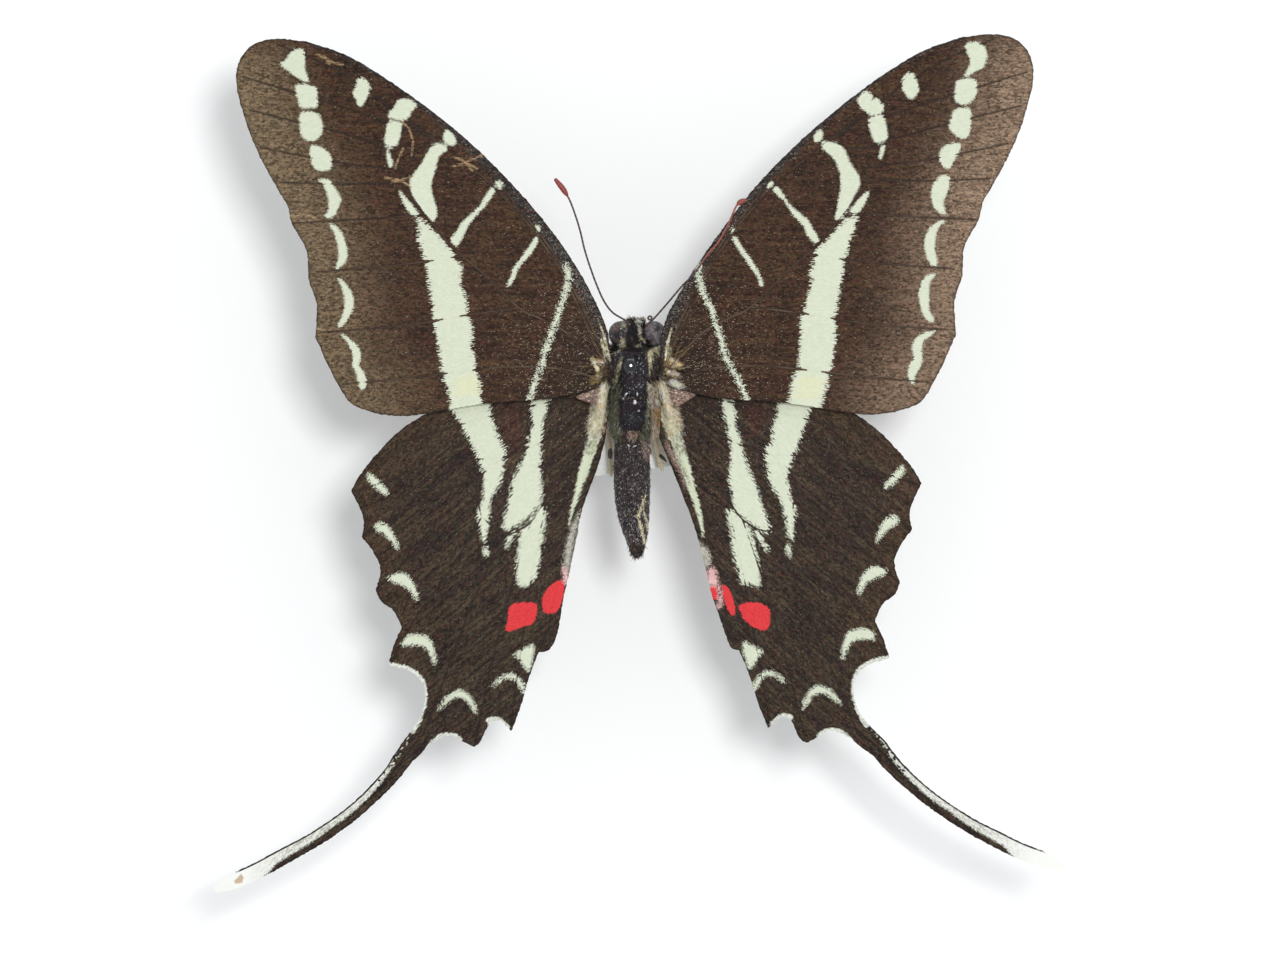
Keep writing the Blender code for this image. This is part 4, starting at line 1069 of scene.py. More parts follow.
bodyForm = {
    "rings": 190, "quickRings": 110, "sides": 72,
    "segments": [-5.1, -6.7, -8.3, -9.9, -11.5, -13.0, -14.3, -15.4],
    "step": 0.07,  # how far each abdomen ring overlaps the next
    "stations": places("6.32,0.14,19.45,0.12,0.12 6.26,0.14,19.45,0.48,0.55 6.02,0.14,19.5,0.82,0.95 "
                       "5.6,0.06,19.62,0.94,1.25 5,0.04,19.7,0.96,1.36 4.4,0.04,19.75,1.06,1.38 "
                       "3.95,0.04,19.85,1.16,1.24 3.7,0.02,19.95,1.35,1.26 3.45,0,20.15,1.7,1.52 "
                       "3,-0.02,20.28,2.1,1.92 2.6,-0.03,20.3,2.32,2.05 2.2,-0.04,20.3,2.42,2.26 "
                       "1.2,-0.06,20.3,2.46,2.5 0,-0.08,20.3,2.46,2.56 -0.95,-0.1,20.3,2.42,2.42 "
                       "-1.25,-0.12,20.3,2.38,2.3 -1.7,-0.14,20.3,2.34,2.42 -2.4,-0.17,20.28,2.26,2.26 "
                       "-2.8,-0.2,20.26,2.18,2.1 -3.3,-0.23,20.24,2.08,2.12 -4.1,-0.27,20.2,1.88,1.98 "
                       "-4.7,-0.3,20.15,1.6,1.74 -5.1,-0.31,20.1,1.5,1.58 -5.6,-0.31,20.05,1.6,1.68 "
                       "-7,-0.3,20,1.68,1.78 -9,-0.29,19.9,1.7,1.8 -11,-0.24,19.72,1.62,1.72 "
                       "-12.7,-0.12,19.5,1.42,1.52 -14.3,0.08,19.25,1.1,1.2 -15.5,0.17,19.08,0.74,0.84 "
                       "-16.1,0.17,19,0.52,0.6 -16.45,0.15,18.98,0.2,0.24"),
}
bodyTone = {
    "scale": colour(70, 62, 62), "scaleDark": colour(24, 21, 24), "spark": colour(150, 146, 138),
    "bald": colour(8, 8, 11), "baldLight": colour(30, 28, 33), "baldRed": colour(40, 22, 30),
    "shine": colour(214, 222, 238),
}
hairTone = {
    "black": colour(29, 27, 31), "brown": colour(98, 78, 66), "grey": colour(164, 160, 152),
    "cream": colour(250, 243, 217),
    "buff": colour(232, 206, 164), "orange": colour(222, 146, 88), "green": colour(170, 172, 142),
    "white": colour(252, 251, 243),
    "rose": colour(186, 156, 144), "olive": colour(108, 104, 80), "paleGreen": colour(226, 232, 202),
    "straw": colour(212, 200, 148),
    "moss": colour(96, 102, 78), "line": colour(238, 226, 184), "gold": colour(214, 186, 122),
    "soot": colour(58, 54, 57), "ink": colour(56, 54, 58), "jet": colour(14, 13, 16),
    "mustard": colour(164, 138, 78), "maroon": colour(92, 56, 52), "plum": colour(72, 56, 66),
    "glint": colour(255, 255, 255),
}
# Where hair and scales have another tone, drawn where they lie from above: palette, outline
palettes = {
    "dim": "rose 2 brown 2 soot 2 grey 1.2",
    "cream": "cream 4 green 1.4 buff 1", "line": "line 3 cream 1", "straw": "straw 4 cream 1.5 olive 1.5",
    "moss": "moss 3 olive 2.4 black 1.6 grey 1.8", "rose": "rose 3 cream 3 buff 2.4 brown 1.2 black 1.2",
    "dull": "green 2 olive 3 moss 2 black 2", "orange": "orange 4 gold 2.4 buff 1.4 brown 1.2 maroon 1",
}
bodyMarks = [(name, drawn(p)) for name, p in (
    ("straw", "648,352 651,347.5 653.6,348 653.8,353 652,360 651.2,368 649.6,375 648.6,374 649,364 "
              "647.8,358"),
    ("cream", "655.5,346.5 660.5,346 661,349.5 658,352.5 656,351"),
    ("dull", "621.6,354 623,357 619.9,369 617,383 615,384 616,372 618.8,361"),
    ("line", "620.8,362 621.8,363 618.6,374 616.2,382.5 615.4,382 617.8,373"),
    ("rose", "615,348 619.6,347 620.6,350.6 617.6,353 615.2,351.6"),
    ("straw", "619,337 624,335 628,338 628,343 624,348 620,346 619,341"),
    ("dull", "623,321 630,320 631,325 629,332 624,333 622.5,327"),
    ("dull", "636.2,319 641,318.5 641.2,325 638.6,327 636.6,325"),
    ("cream", "638.2,327 640.4,327 640.2,335 638.6,335"),
    ("straw", "640.6,337.6 644.4,340.4 643.6,341.8 640.4,339.4"),
    ("dull", "633.4,344.4 638.8,343.8 639.2,346.6 634.2,347.6"),
    ("moss", "612,386 619,385 618.5,400 618,420 619,438 611.5,438 611,420 611.5,400"),
    ("cream", "647.4,382 651.4,384 651,394 649.4,406 647.6,405 647.8,394"),
    ("moss", "646.4,405 649.6,405 648.4,420 646.5,434 640,439 641,433 645,424"),
    ("rose", "652,386 655,380 659.6,382 660,400 658,410 656,418 656.5,436 652,438 649.4,432 650.6,410 "
             "650.8,396"),
    ("orange", "653.5,409 658,407.5 663,413 665,421 661,426 656.5,423 654,416"),
    ("rose", "627,431.5 637,431.5 638,437 634,439.5 628,438.5"),
    ("dim", "641,437 652,438 652.5,450 650,460 645,462 642,449"),
    ("line", "645.4,494 646.7,495 642.4,507 639,517 640.8,524 643.3,532 645.8,542 645.2,547.5 643.7,542 "
             "641.2,533 638.8,524 637.2,517 640.2,507"),
    ("line", "642.2,507 643.4,508 646.2,517 648.2,525 647.2,533 646.4,532 646.8,525 644.8,517"),
)]


def bodyProfile(y):
    # x, z, half width and half height of the body at y
    rows = np.array(bodyForm["stations"])[::-1]
    knots = rows[:, 0]
    at = np.interp(y, knots, np.arange(len(knots)))
    i = np.clip(at.astype(int), 0, len(knots) - 2)
    u = (at - i)[:, None]
    padded = np.vstack([rows[:1], rows, rows[-1:]])
    return curveBetween(*(padded[i + k] for k in range(4)), u)[:, 1:].T


def bodyRelief(y, turn):
    # how far the skin stands out of the smooth loft: turn is 0 to the right and a quarter turn at the top
    rise = np.zeros_like(y)
    cuts = bodyForm["segments"]
    for first, second in zip(cuts, cuts[1:]):
        inside = (y <= first) & (y > second)
        share = np.clip((first - y) / (first - second), 0, 1)
        rise += np.where(inside, bodyForm["step"] * (share ** 0.7 - 0.35) * (1 - share ** 14), 0)
    across = np.cos(turn)
    top = np.clip(np.sin(turn), 0, 1)
    notum = np.exp(-((y - 0.8) / 2.1) ** 4)
    # the bare middle back stands up, with a fine groove down its middle, and a lappet over each wing root
    rise += notum * top * 0.16 * np.exp(-(across / 0.55) ** 4)
    rise += 0.34 * np.exp(-((y - 1.9) / 1.45) ** 4 - ((np.abs(across) - 0.78) / 0.22) ** 2) * (top > 0)
    rise -= notum * top * 0.05 * np.exp(-(across / 0.035) ** 2)
    rise -= notum * top * 0.10 * np.exp(-((np.abs(across) - 0.62) / 0.07) ** 2)
    rise += 0.10 * top * np.exp(-((y + 1.75) / 0.38) ** 2 - (across / 0.45) ** 2)
    rise -= 0.12 * top * np.exp(-((y + 1.2) / 0.12) ** 2)
    return rise


def tonesOf(mix):
    # the tones that a mix names, and each one's share
    parts = mix.split()
    chances = np.array(parts[1::2], dtype=float)
    return np.array([hairTone[name][:3] for name in parts[::2]]), chances / sum(chances)


def meanTone(mix):
    tones, share = tonesOf(mix)
    return np.append((tones * share[:, None]).sum(axis=0), 1.0)


def makeSkin():
    form = bodyForm
    count = form["rings"]
    ends = (form["stations"][0][0], form["stations"][-1][0])
    ys = np.linspace(ends[0], ends[1], count)
    xs, zs, wides, highs = bodyProfile(ys)
    bm = bmesh.new()
    loops = []
    for i in range(count):
        loop = bmesh.ops.create_circle(bm, cap_ends=False, segments=form["sides"], radius=1.0)["verts"]
        turn = np.array([math.atan2(v.co.y, v.co.x) for v in loop])
        rise = bodyRelief(np.full(len(turn), ys[i]), turn)
        for vert, angle, extra in zip(loop, turn, rise):
            vert.co = Vector((xs[i] + math.cos(angle) * (wides[i] + extra), ys[i],
                              zs[i] + math.sin(angle) * (highs[i] + extra)))
        loops.append(loop)
    for near, far in zip(loops, loops[1:]):
        edges = [e for loop in (near, far) for v in loop for e in v.link_edges if e.other_vert(v) in loop]
        bmesh.ops.bridge_loops(bm, edges=list(set(edges)))
    for loop in (loops[0], loops[-1]):
        bmesh.ops.contextual_create(bm, geom=loop)
    bmesh.ops.recalc_face_normals(bm, faces=bm.faces[:])
    mesh = meshFrom("body", bm, 1.0)
    points = meshPoints(mesh)
    plan = np.column_stack([-points[:, 0], points[:, 1]])
    _, zMiddle, _, high = bodyProfile(points[:, 1])
    top = np.clip((points[:, 2] - zMiddle) / high, -1, 1)
    tones = np.tile(np.array(bodyTone["scale"]), (len(points), 1))
    depth = np.full(len(points), -1.5)
    for name, outline in bodyMarks:
        own = np.where(top > 0.05, patchDepth(plan, outline), -1.5)
        deeper = own > depth
        tones[deeper] = meanTone(palettes[name])
        depth[deeper] = own[deeper]
    addValues(mesh, "marked", depth)
    layer = mesh.attributes.new("markTone", "FLOAT_COLOR", "POINT")
    layer.data.foreach_set("color", tones.astype(np.float32).ravel())
    addValues(mesh, "back", top)
    halfBare = np.interp(points[:, 1], [-4.8, -3.5, -1.0, 1.5, 3.6], [0.9, 1.30, 1.50, 1.42, 1.2])
    alongBack, acrossBack = (points[:, 1] + 0.4) / 4.1, (points[:, 0] + 0.22) / halfBare
    notum = np.exp(-alongBack ** 12) * np.exp(-acrossBack ** 4) * (top > 0.2)
    addValues(mesh, "bare", notum)
    # how strong the painted glints on the bare back are, fading towards its rear
    addValues(mesh, "paintedGlintShare", np.clip((points[:, 1] + 2.6) / 2.2, 0, 1))
    mesh.vertices.foreach_set("co", (points * millimetre).ravel())
    softShade(mesh, 60)
    return newObject("bodySkin", mesh)


def skinMaterial():
    tone = bodyTone
    material, shader = newMaterial("bodyScales")
    rows = placeRows(0.07, 0.16, 90, 0.03)
    grain, cloud = rows["Grain"], rows["Cloud"]
    ground = mixColour(grain, tone["scaleDark"], tone["scale"])
    ground = mixColour(times(rows["Spark"], 0.6), ground, tone["spark"])
    bare = spread(plus(readValue("bare"), times(minus(cloud, 0.5), 0.5)), 0.35, 0.6)
    # pale specks on the bare back are painted glints
    speckle = texture("Voronoi", 7500, feature="F1")
    parts = channels(speckle["Color"])
    shine = times(spread(parts[0], 0.74, 0.9), spread(speckle["Distance"], 0.42, 0.2))
    shine = times(shine, times(spread(cloud, 0.38, 0.60, 0.15, 1.0),
                               spread(readValue("paintedGlintShare"), 0, 1, 0.25, 1.0)))
    bald = mixColour(spread(parts[1], 0.0, 1.0), tone["bald"], tone["baldLight"])
    bald = mixColour(spread(cloud, 0.55, 0.40, 0.0, 0.5), bald, tone["baldRed"])
    ground = mixColour(bare, ground, mixColour(shine, bald, tone["shine"]))
    wander = plus(times(minus(rows["Teeth"], 0.5), 0.3), times(minus(grain, 0.5), 0.1))
    marked = spread(plus(readValue("marked"), wander), -0.05, 0.08)
    markTone = mixColour(1.0, readValue("markTone", "Color"),
                         mixColour(grain, (0.45, 0.45, 0.45, 1), (1.1, 1.1, 1.1, 1)), "MULTIPLY")
    wrinkle = texture("Noise", 3200, 3)
    pits = texture("Voronoi", 5200, feature="SMOOTH_F1")
    glaze = plus(times(wrinkle["Fac"], 2.2), times(pits["Distance"], 1.6))
    relief = plus(times(rows["Relief"], minus(1.0, bare)), glaze)
    gloss = spread(minus(bare, marked), 0, 1, 0.75, 0.18)
    finishShader(shader, mixColour(marked, ground, markTone), gloss, 0.24, relief, 0.9, 0.00007)
    return material


def strandForm():
    # one strand a unit long: a thin cone of three sides, cut twice so that it can bend and swell
    bm = bmesh.new()
    bmesh.ops.create_cone(bm, cap_ends=True, segments=3, radius1=1.0, radius2=0.0, depth=1.0,
                          matrix=Matrix.Translation((0, 0, 0.5)))
    bmesh.ops.remove_doubles(bm, verts=bm.verts[:], dist=1e-4)
    for cut in (0.4, 0.75):
        bmesh.ops.bisect_plane(bm, geom=bm.verts[:] + bm.edges[:] + bm.faces[:], plane_co=(0, 0, cut),
                               plane_no=(0, 0, 1))
    for vert in bm.verts:
        swell = np.interp(vert.co.z, (0, 0.4, 0.75, 1), (1, 0.85, 0.5, 0)) / max(1 - vert.co.z, 1e-3)
        vert.co.x, vert.co.y = vert.co.x * swell, vert.co.y * swell
    return meshFrom("strand", bm, 1.0)


def tuftMesh(name, roots, ways, lengths, widths, lift, curl, tones, skinUv, seed):
    # many strands: an array copies the one strand, and each copy is bent and laid in its place
    pick = np.random.default_rng(seed)
    count = len(roots)
    widths, curl = np.broadcast_to(widths, count), np.broadcast_to(curl, count)
    lift = np.broadcast_to(lift, (count, 3))
    form = strandForm()
    strand = meshPoints(form)
    holder = newObject(name, form)
    array = holder.modifiers.new("copies", "ARRAY")
    array.use_relative_offset = False
    array.count = count
    mesh = applied(holder)
    ways = ways / np.linalg.norm(ways, axis=1)[:, None]
    up = lift / np.linalg.norm(lift, axis=1)[:, None]
    across = np.cross(up, ways)
    across /= np.maximum(np.linalg.norm(across, axis=1)[:, None], 1e-6)
    bend = up * curl[:, None] + across * pick.normal(0, 0.10, (count, 1))
    x, y, share = (strand[None, :, k, None] for k in range(3))
    curve = ways[:, None] * share + bend[:, None] * share ** 2
    points = roots[:, None] + curve * lengths[:, None, None]
    points = points + (across[:, None] * x + up[:, None] * y * 0.5) * widths[:, None, None]
    mesh.vertices.foreach_set("co", (points * millimetre).ravel())
    mesh.update()
    layer = mesh.attributes.new("tone", "FLOAT_COLOR", "POINT")
    spreadTones = np.repeat(tones, len(strand), axis=0)
    solid = np.column_stack([spreadTones, np.ones(len(spreadTones))])
    layer.data.foreach_set("color", solid.astype(np.float32).ravel())
    addValues(mesh, "reach", np.tile(strand[:, 2], count))
    unwrapped = mesh.uv_layers.new(name="OFBake")
    spot = np.tile(np.column_stack([strand[:, 0] * 0.5 + 0.5, strand[:, 2]]), (count, 1))
    uvPoint = np.repeat(skinUv, len(strand), axis=0) + spot * coat["mapPatch"]
    loops = np.empty(len(mesh.loops), dtype=np.int32)
    mesh.loops.foreach_get("vertex_index", loops)
    unwrapped.data.foreach_set("uv", uvPoint[loops].astype(np.float32).ravel())
    mesh.shade_smooth()
    return mesh


def tuftMaterial(name, roughness):
    material, shader = newMaterial(name)
    # each hair is painted darker towards its root, a painted shade deep in the coat, and lighter towards
    # its tip
    tip = spread(readValue("reach"), 0.0, 0.6, 0.55, 1.15)
    shade = addNode("CombineXYZ")
    for k in range(3):
        feed(shade.inputs[k], tip)
    finishShader(shader, mixColour(1.0, readValue("tone", "Color"), shade.outputs[0], "MULTIPLY"),
                 roughness, 0.18)
    return material


def surfaceSpots(mesh, count, seed, weigh):
    # random places on a mesh, with its normals there, more of them where weigh is high
    pick = np.random.default_rng(seed)
    total = len(mesh.polygons)
    centres, normals, areas = np.empty(total * 3), np.empty(total * 3), np.empty(total)
    mesh.polygons.foreach_get("center", centres)
    mesh.polygons.foreach_get("normal", normals)
    mesh.polygons.foreach_get("area", areas)
    centres, normals = centres.reshape(-1, 3) / millimetre, normals.reshape(-1, 3)
    weight = areas * weigh(centres, normals)
    chosen = pick.choice(total, size=count, p=weight / weight.sum())
    reach = np.sqrt(areas[chosen])[:, None] / millimetre * 0.5
    offset = pick.uniform(-1, 1, (count, 3)) * reach
    normal = normals[chosen]
    offset -= normal * np.sum(offset * normal, axis=1)[:, None]
    return centres[chosen] + offset, normal, pick


def zone(places, normals, rear, front, low, high=2.0):
    # the part of the skin between two cross sections that faces up more than low and less than high
    y, up = places[:, 1], normals[:, 2]
    return (y < front) & (y > rear) & (up > low) & (up < high)


def skinPlace(points):
    # the skin unrolled: once round it across, and its length upwards
    x, z, _, _ = bodyProfile(points[:, 1])
    turn = np.arctan2(points[:, 2] - z, points[:, 0] - x) / (2 * math.pi) + 0.5
    along = (6.5 - points[:, 1]) / 23.0
    return np.column_stack([turn, along]) * 0.99


def turnedWays(way, turn):
    return way[0] * np.cos(turn) - way[1] * np.sin(turn), way[0] * np.sin(turn) + way[1] * np.cos(turn)


def clumps(roots, size=0.15):
    return np.unique(np.floor(roots / size).astype(int), axis=0, return_inverse=True)[1].ravel()


def paletteMix(mix, roots, pick, vary=0.2, alone=0.25, contrast=1.35):
    # hairs of one clump mostly share a tone, and every clump has its own brightness
    if len(roots) == 0:
        return np.zeros((0, 3))
    colours, share = tonesOf(mix)
    cells = clumps(roots)
    usual = pick.choice(len(share), size=cells.max() + 1, p=share)[cells]
    own = pick.choice(len(share), size=len(roots), p=share)
    chosen = np.where(pick.random(len(roots)) < alone, own, usual)
    shade = (1.0 + contrast * (pick.random(cells.max() + 1) ** 1.2 - 0.52))[cells]
    shade = shade * (1 + pick.uniform(-vary, vary, len(roots)))
    return np.clip(colours[chosen] * shade[:, None], 0, 0.95)


def clumpSway(roots, pick, amount):
    cells = clumps(roots)
    return pick.normal(0, amount, (cells.max() + 1, 3))[cells]


coat = {  # how many strands grow in each part
    "back": 4200, "flanks": 11500, "belly": 2400, "abdomen": 12000, "head": 4200, "wingHair": 2200,
    "patches": 2000,
    "strand": 0.015,  # half the width of a hair
    "quickShare": 0.4, "mapPatch": 0.003,
}


def makeCoat(skin):
    mesh = skin.data
    parts = []
    thin = 1.0

    def markTufts(roots, normals, tones, pick, top=-0.15, grow=0.04):
        # tufts rooted in a marking take its palette
        plan = np.column_stack([-roots[:, 0], roots[:, 1]]) + clumpSway(roots, pick, 0.09)[:, :2]
        plan = plan + pick.normal(0, 0.05, (len(roots), 2))
        for name, outline in bodyMarks:
            chosen = (patchDepth(plan, outline) > -grow) & (normals[:, 2] > top)
            if chosen.any():
                tones[chosen] = paletteMix(palettes[name], roots[chosen], pick,
                                           contrast=0.45 if name == "line" else 1.35)

    def addCoat(name, spots, ways, lengths, width, curl, tones, seed):
        roots, normals, pick = spots
        count = len(roots)
        ways = ways + clumpSway(roots, pick, 0.16) * (2.2 if name == "abdomenScales" else 1.0)
        parts.append((name, tuftMesh(name, roots, ways, lengths, width, normals, curl, tones,
                                     skinPlace(roots), seed)))

    # the bare back carries only short scattered bristles, more of them at its end
    count = int(coat["back"] * thin)

    def bare(c, n):
        return (np.abs(c[:, 0] + 0.22) < 1.3) & zone(c, n, -3.9, 2.6, -2.0)

    spots = surfaceSpots(mesh, count, 11, lambda c, n: zone(c, n, -5.4, 3.8, 0.2)
                         * np.where(bare(c, n), 0.10, 1.0))
    roots, normals, pick = spots
    ways = np.column_stack([normals[:, 0] * 0.4, np.full(count, -0.9),
                            normals[:, 2] * 0.3]) + pick.normal(0, 0.14, (count, 3))
    tones = paletteMix("black 9 brown 1.2 olive 0.8 plum 1", roots, pick)
    waist = roots[:, 1] < -4.3
    tones[waist] = paletteMix("black 5 rose 1 brown 2 moss 1", roots[waist], pick)
    markTufts(roots, normals, tones, pick)
    addCoat("backHair", spots, ways, pick.uniform(0.22, 0.38, count), coat["strand"], 0.12, tones, 21)

    # both flanks: olive and dark hair lying back and outwards
    count = int(coat["flanks"] * thin)
    spots = surfaceSpots(mesh, count, 12, lambda c, n: zone(c, n, -5.3, 3.6, -0.5, 0.8)
                         * np.clip(1.25 - (c[:, 1] + 4.5) * 0.06, 0.7, 1.3))
    roots, normals, pick = spots
    ways = np.column_stack([normals[:, 0] * 0.5, np.full(count, -0.85),
                            normals[:, 2] * 0.25 + 0.1]) + pick.normal(0, 0.15, (count, 3))
    tones = paletteMix("black 4 olive 2 grey 1.4 moss 2 brown 1.2 maroon 0.8", roots, pick)
    front = roots[:, 1] > 0.4
    tones[front] = paletteMix("black 6 brown 1.6 olive 1 rose 0.6", roots[front], pick)
    markTufts(roots, normals, tones, pick)
    lengths = (0.30 + 0.16 * np.clip(-roots[:, 1] / 4, 0, 1)) * pick.uniform(0.85, 1.25, count)
    addCoat("flankHair", spots, ways, lengths, coat["strand"], 0.10, tones, 22)

    # under the thorax: pale wool round the legs
    count = int(coat["belly"] * thin)
    spots = surfaceSpots(mesh, count, 13, lambda c, n: zone(c, n, -5.4, 3.4, -2.0, -0.2) * 1.0)
    roots, normals, pick = spots
    ways = np.column_stack([normals[:, 0] * 0.5, np.full(count, -0.8),
                            normals[:, 2] * 0.25]) + pick.normal(0, 0.2, (count, 3))
    tones = paletteMix("white 3 cream 2 grey 2 black 1.5", roots, pick)
    addCoat("bellyWool", spots, ways, pick.uniform(0.5, 1.2, count), 0.022, 0.05, tones, 23)

    # abdomen: short flat scales lying back, mottled dark above and cream below
    count = int(coat["abdomen"] * thin)
    spots = surfaceSpots(mesh, count, 14, lambda c, n: (c[:, 1] < -4.9) * 1.0)
    roots, normals, pick = spots
    ways = np.column_stack([normals[:, 0] * 0.06, -np.ones(count),
                            normals[:, 2] * 0.04]) + pick.normal(0, 0.08, (count, 3))
    tones = paletteMix("soot 4 black 3.6 brown 1.6 grey 1.9 rose 0.4 plum 1.8", roots, pick, 0.35, 0.7)
    low = np.clip((-roots[:, 1] - 7) / 6, 0, 1)  # paler towards its end
    tones = tones * (1.10 + 1.05 * low)[:, None] * (1 + low[:, None] * (-0.04, 0.0, 0.04))
    tones = np.clip(tones, 0, 0.9)
    under = normals[:, 2] < -0.45
    tones[under] = paletteMix("cream 3 white 2 grey 1", roots[under], pick)
    markTufts(roots, normals, tones, pick, 0.0, 0.035)
    tip = roots[:, 1] < -15.3
    lengths = pick.uniform(0.12, 0.24, count) * np.where(tip, pick.uniform(1.2, 3.0, count), 1.0)
    lengths *= np.where(tones.mean(axis=1) > 0.2, 0.7, 1.0)
    tones[tip] = paletteMix("black 3 brown 2", roots[tip], pick)
    addCoat("abdomenScales", spots, ways, lengths, np.where(tones.mean(axis=1) > 0.2, 0.036, 0.030),
            0.05, tones, 24)

    # head: short dark bristles all over, under the long tufts of headHair
    count = int(coat["head"] * thin)
    spots = surfaceSpots(mesh, count, 15, lambda c, n: (c[:, 1] > 3.3)
                         * np.where(n[:, 2] > 0.2, 1.4, 0.7))
    roots, normals, pick = spots
    forward = np.clip((roots[:, 1] - 4.6) / 1.2, -0.7, 1)
    ways = np.column_stack([normals[:, 0] * 0.45, forward * 0.8, 0.25 + normals[:, 2] * 0.5])
    ways = ways + pick.normal(0, 0.18, (count, 3)) + normals * 0.2
    tones = paletteMix("black 7 brown 1.6 olive 0.8", roots, pick)
    markTufts(roots, normals, tones, pick, 0.1)
    lengths = pick.uniform(0.2, 0.36, count)
    addCoat("headBristles", spots, ways, lengths, 0.015, 0.08, tones, 25)
    for name, made in parts:
        finishPiece(newObject(name, made), [tuftMaterial(name, 0.5)])
    print("coat has", sum(len(m.polygons) for _, m in parts), "faces")


# Long tufts that are laid out one patch at a time: a line from above, the patch's half width, its way
# in plan (right and forwards), how steeply the hair rises, its lengths, its palette and its share
headPatches = [
    ("633.4,346 633.2,335 632.8,324", 0.14, (-0.10, 0.75), 0.65, (0.30, 0.6),
     "ink 9 brown 0.9 olive 0.7", 0.60),
    ("633.8,319.4 632.6,318.8", 0.018, (-0.98, 0.08), 0.03, (0.55, 0.85), "jet 1", 0.06),
    ("629,344 630.5,336 631.5,327", 0.14, (-0.45, 0.45), 0.55, (0.35, 0.6), "ink 9 brown 1", 0.30),
    ("638.8,324.5 637.8,321", 0.13, (0.10, 0.60), 0.40, (0.24, 0.4),
     "cream 4 green 2.4 white 1.6 grey 1", 0.24),
    ("639.6,334 639.2,327.5", 0.045, (0.05, 0.60), 0.45, (0.2, 0.34), "cream 3 white 1.4 green 1", 0.09),
    ("641.6,345 642,338", 0.05, (0.3, 0.3), 0.4, (0.2, 0.34), "black 9 brown 1", 0.06),
    ("639,340.4 639.6,337.4", 0.05, (0.1, 0.5), 0.4, (0.16, 0.28), "straw 3 cream 2 green 1", 0.05),
    ("628,332 627.2,326 627.6,321.5", 0.13, (-0.80, 0.20), 0.20, (0.30, 0.55),
     "green 4 grey 3 cream 1.4 olive 1", 0.60),
    ("627,338.5 625.2,341 622.6,345", 0.09, (-0.75, -0.35), 0.35, (0.30, 0.60),
     "straw 3.4 cream 3.4 olive 1.6 black 0.8", 0.30),
    ("620.4,347.5 617.4,351", 0.14, (-0.7, -0.5), 0.2, (0.25, 0.45), "rose 3 cream 2.8 buff 1", 0.26),
    ("639,336.5 641,338.6 644,341", 0.045, (0.4, 0.1), 0.4, (0.16, 0.3), "straw 2 cream 2 line 2", 0.08),
    ("633.5,346 638.5,345.4", 0.08, (0.8, 0.1), 0.1, (0.2, 0.4), "green 3 cream 1.4 olive 1", 0.10),
    ("626,350 634,352 642,351.6 648,350", 0.30, (0.0, -0.8), 0.25, (0.25, 0.5), "jet 10 plum 1", 1.10),
    ("627,356 636,357.5 645,356", 0.26, (0.0, -0.8), 0.15, (0.2, 0.4), "jet 10 plum 1.2", 0.50),
    ("662,353 656,357", 0.15, (0.1, -0.9), 0.2, (0.3, 0.6), "black 7 brown 1 plum 1.4", 0.16),
    ("611.5,351.5 614.5,350.8 617.5,350.4", 0.12, (-0.30, 0.85), 0.12, (0.45, 0.8), "jet 2 black 1",
     0.30),
    ("612,350 611,358", 0.15, (-0.2, -0.9), 0.2, (0.3, 0.6), "black 7 plum 1", 0.16),
]
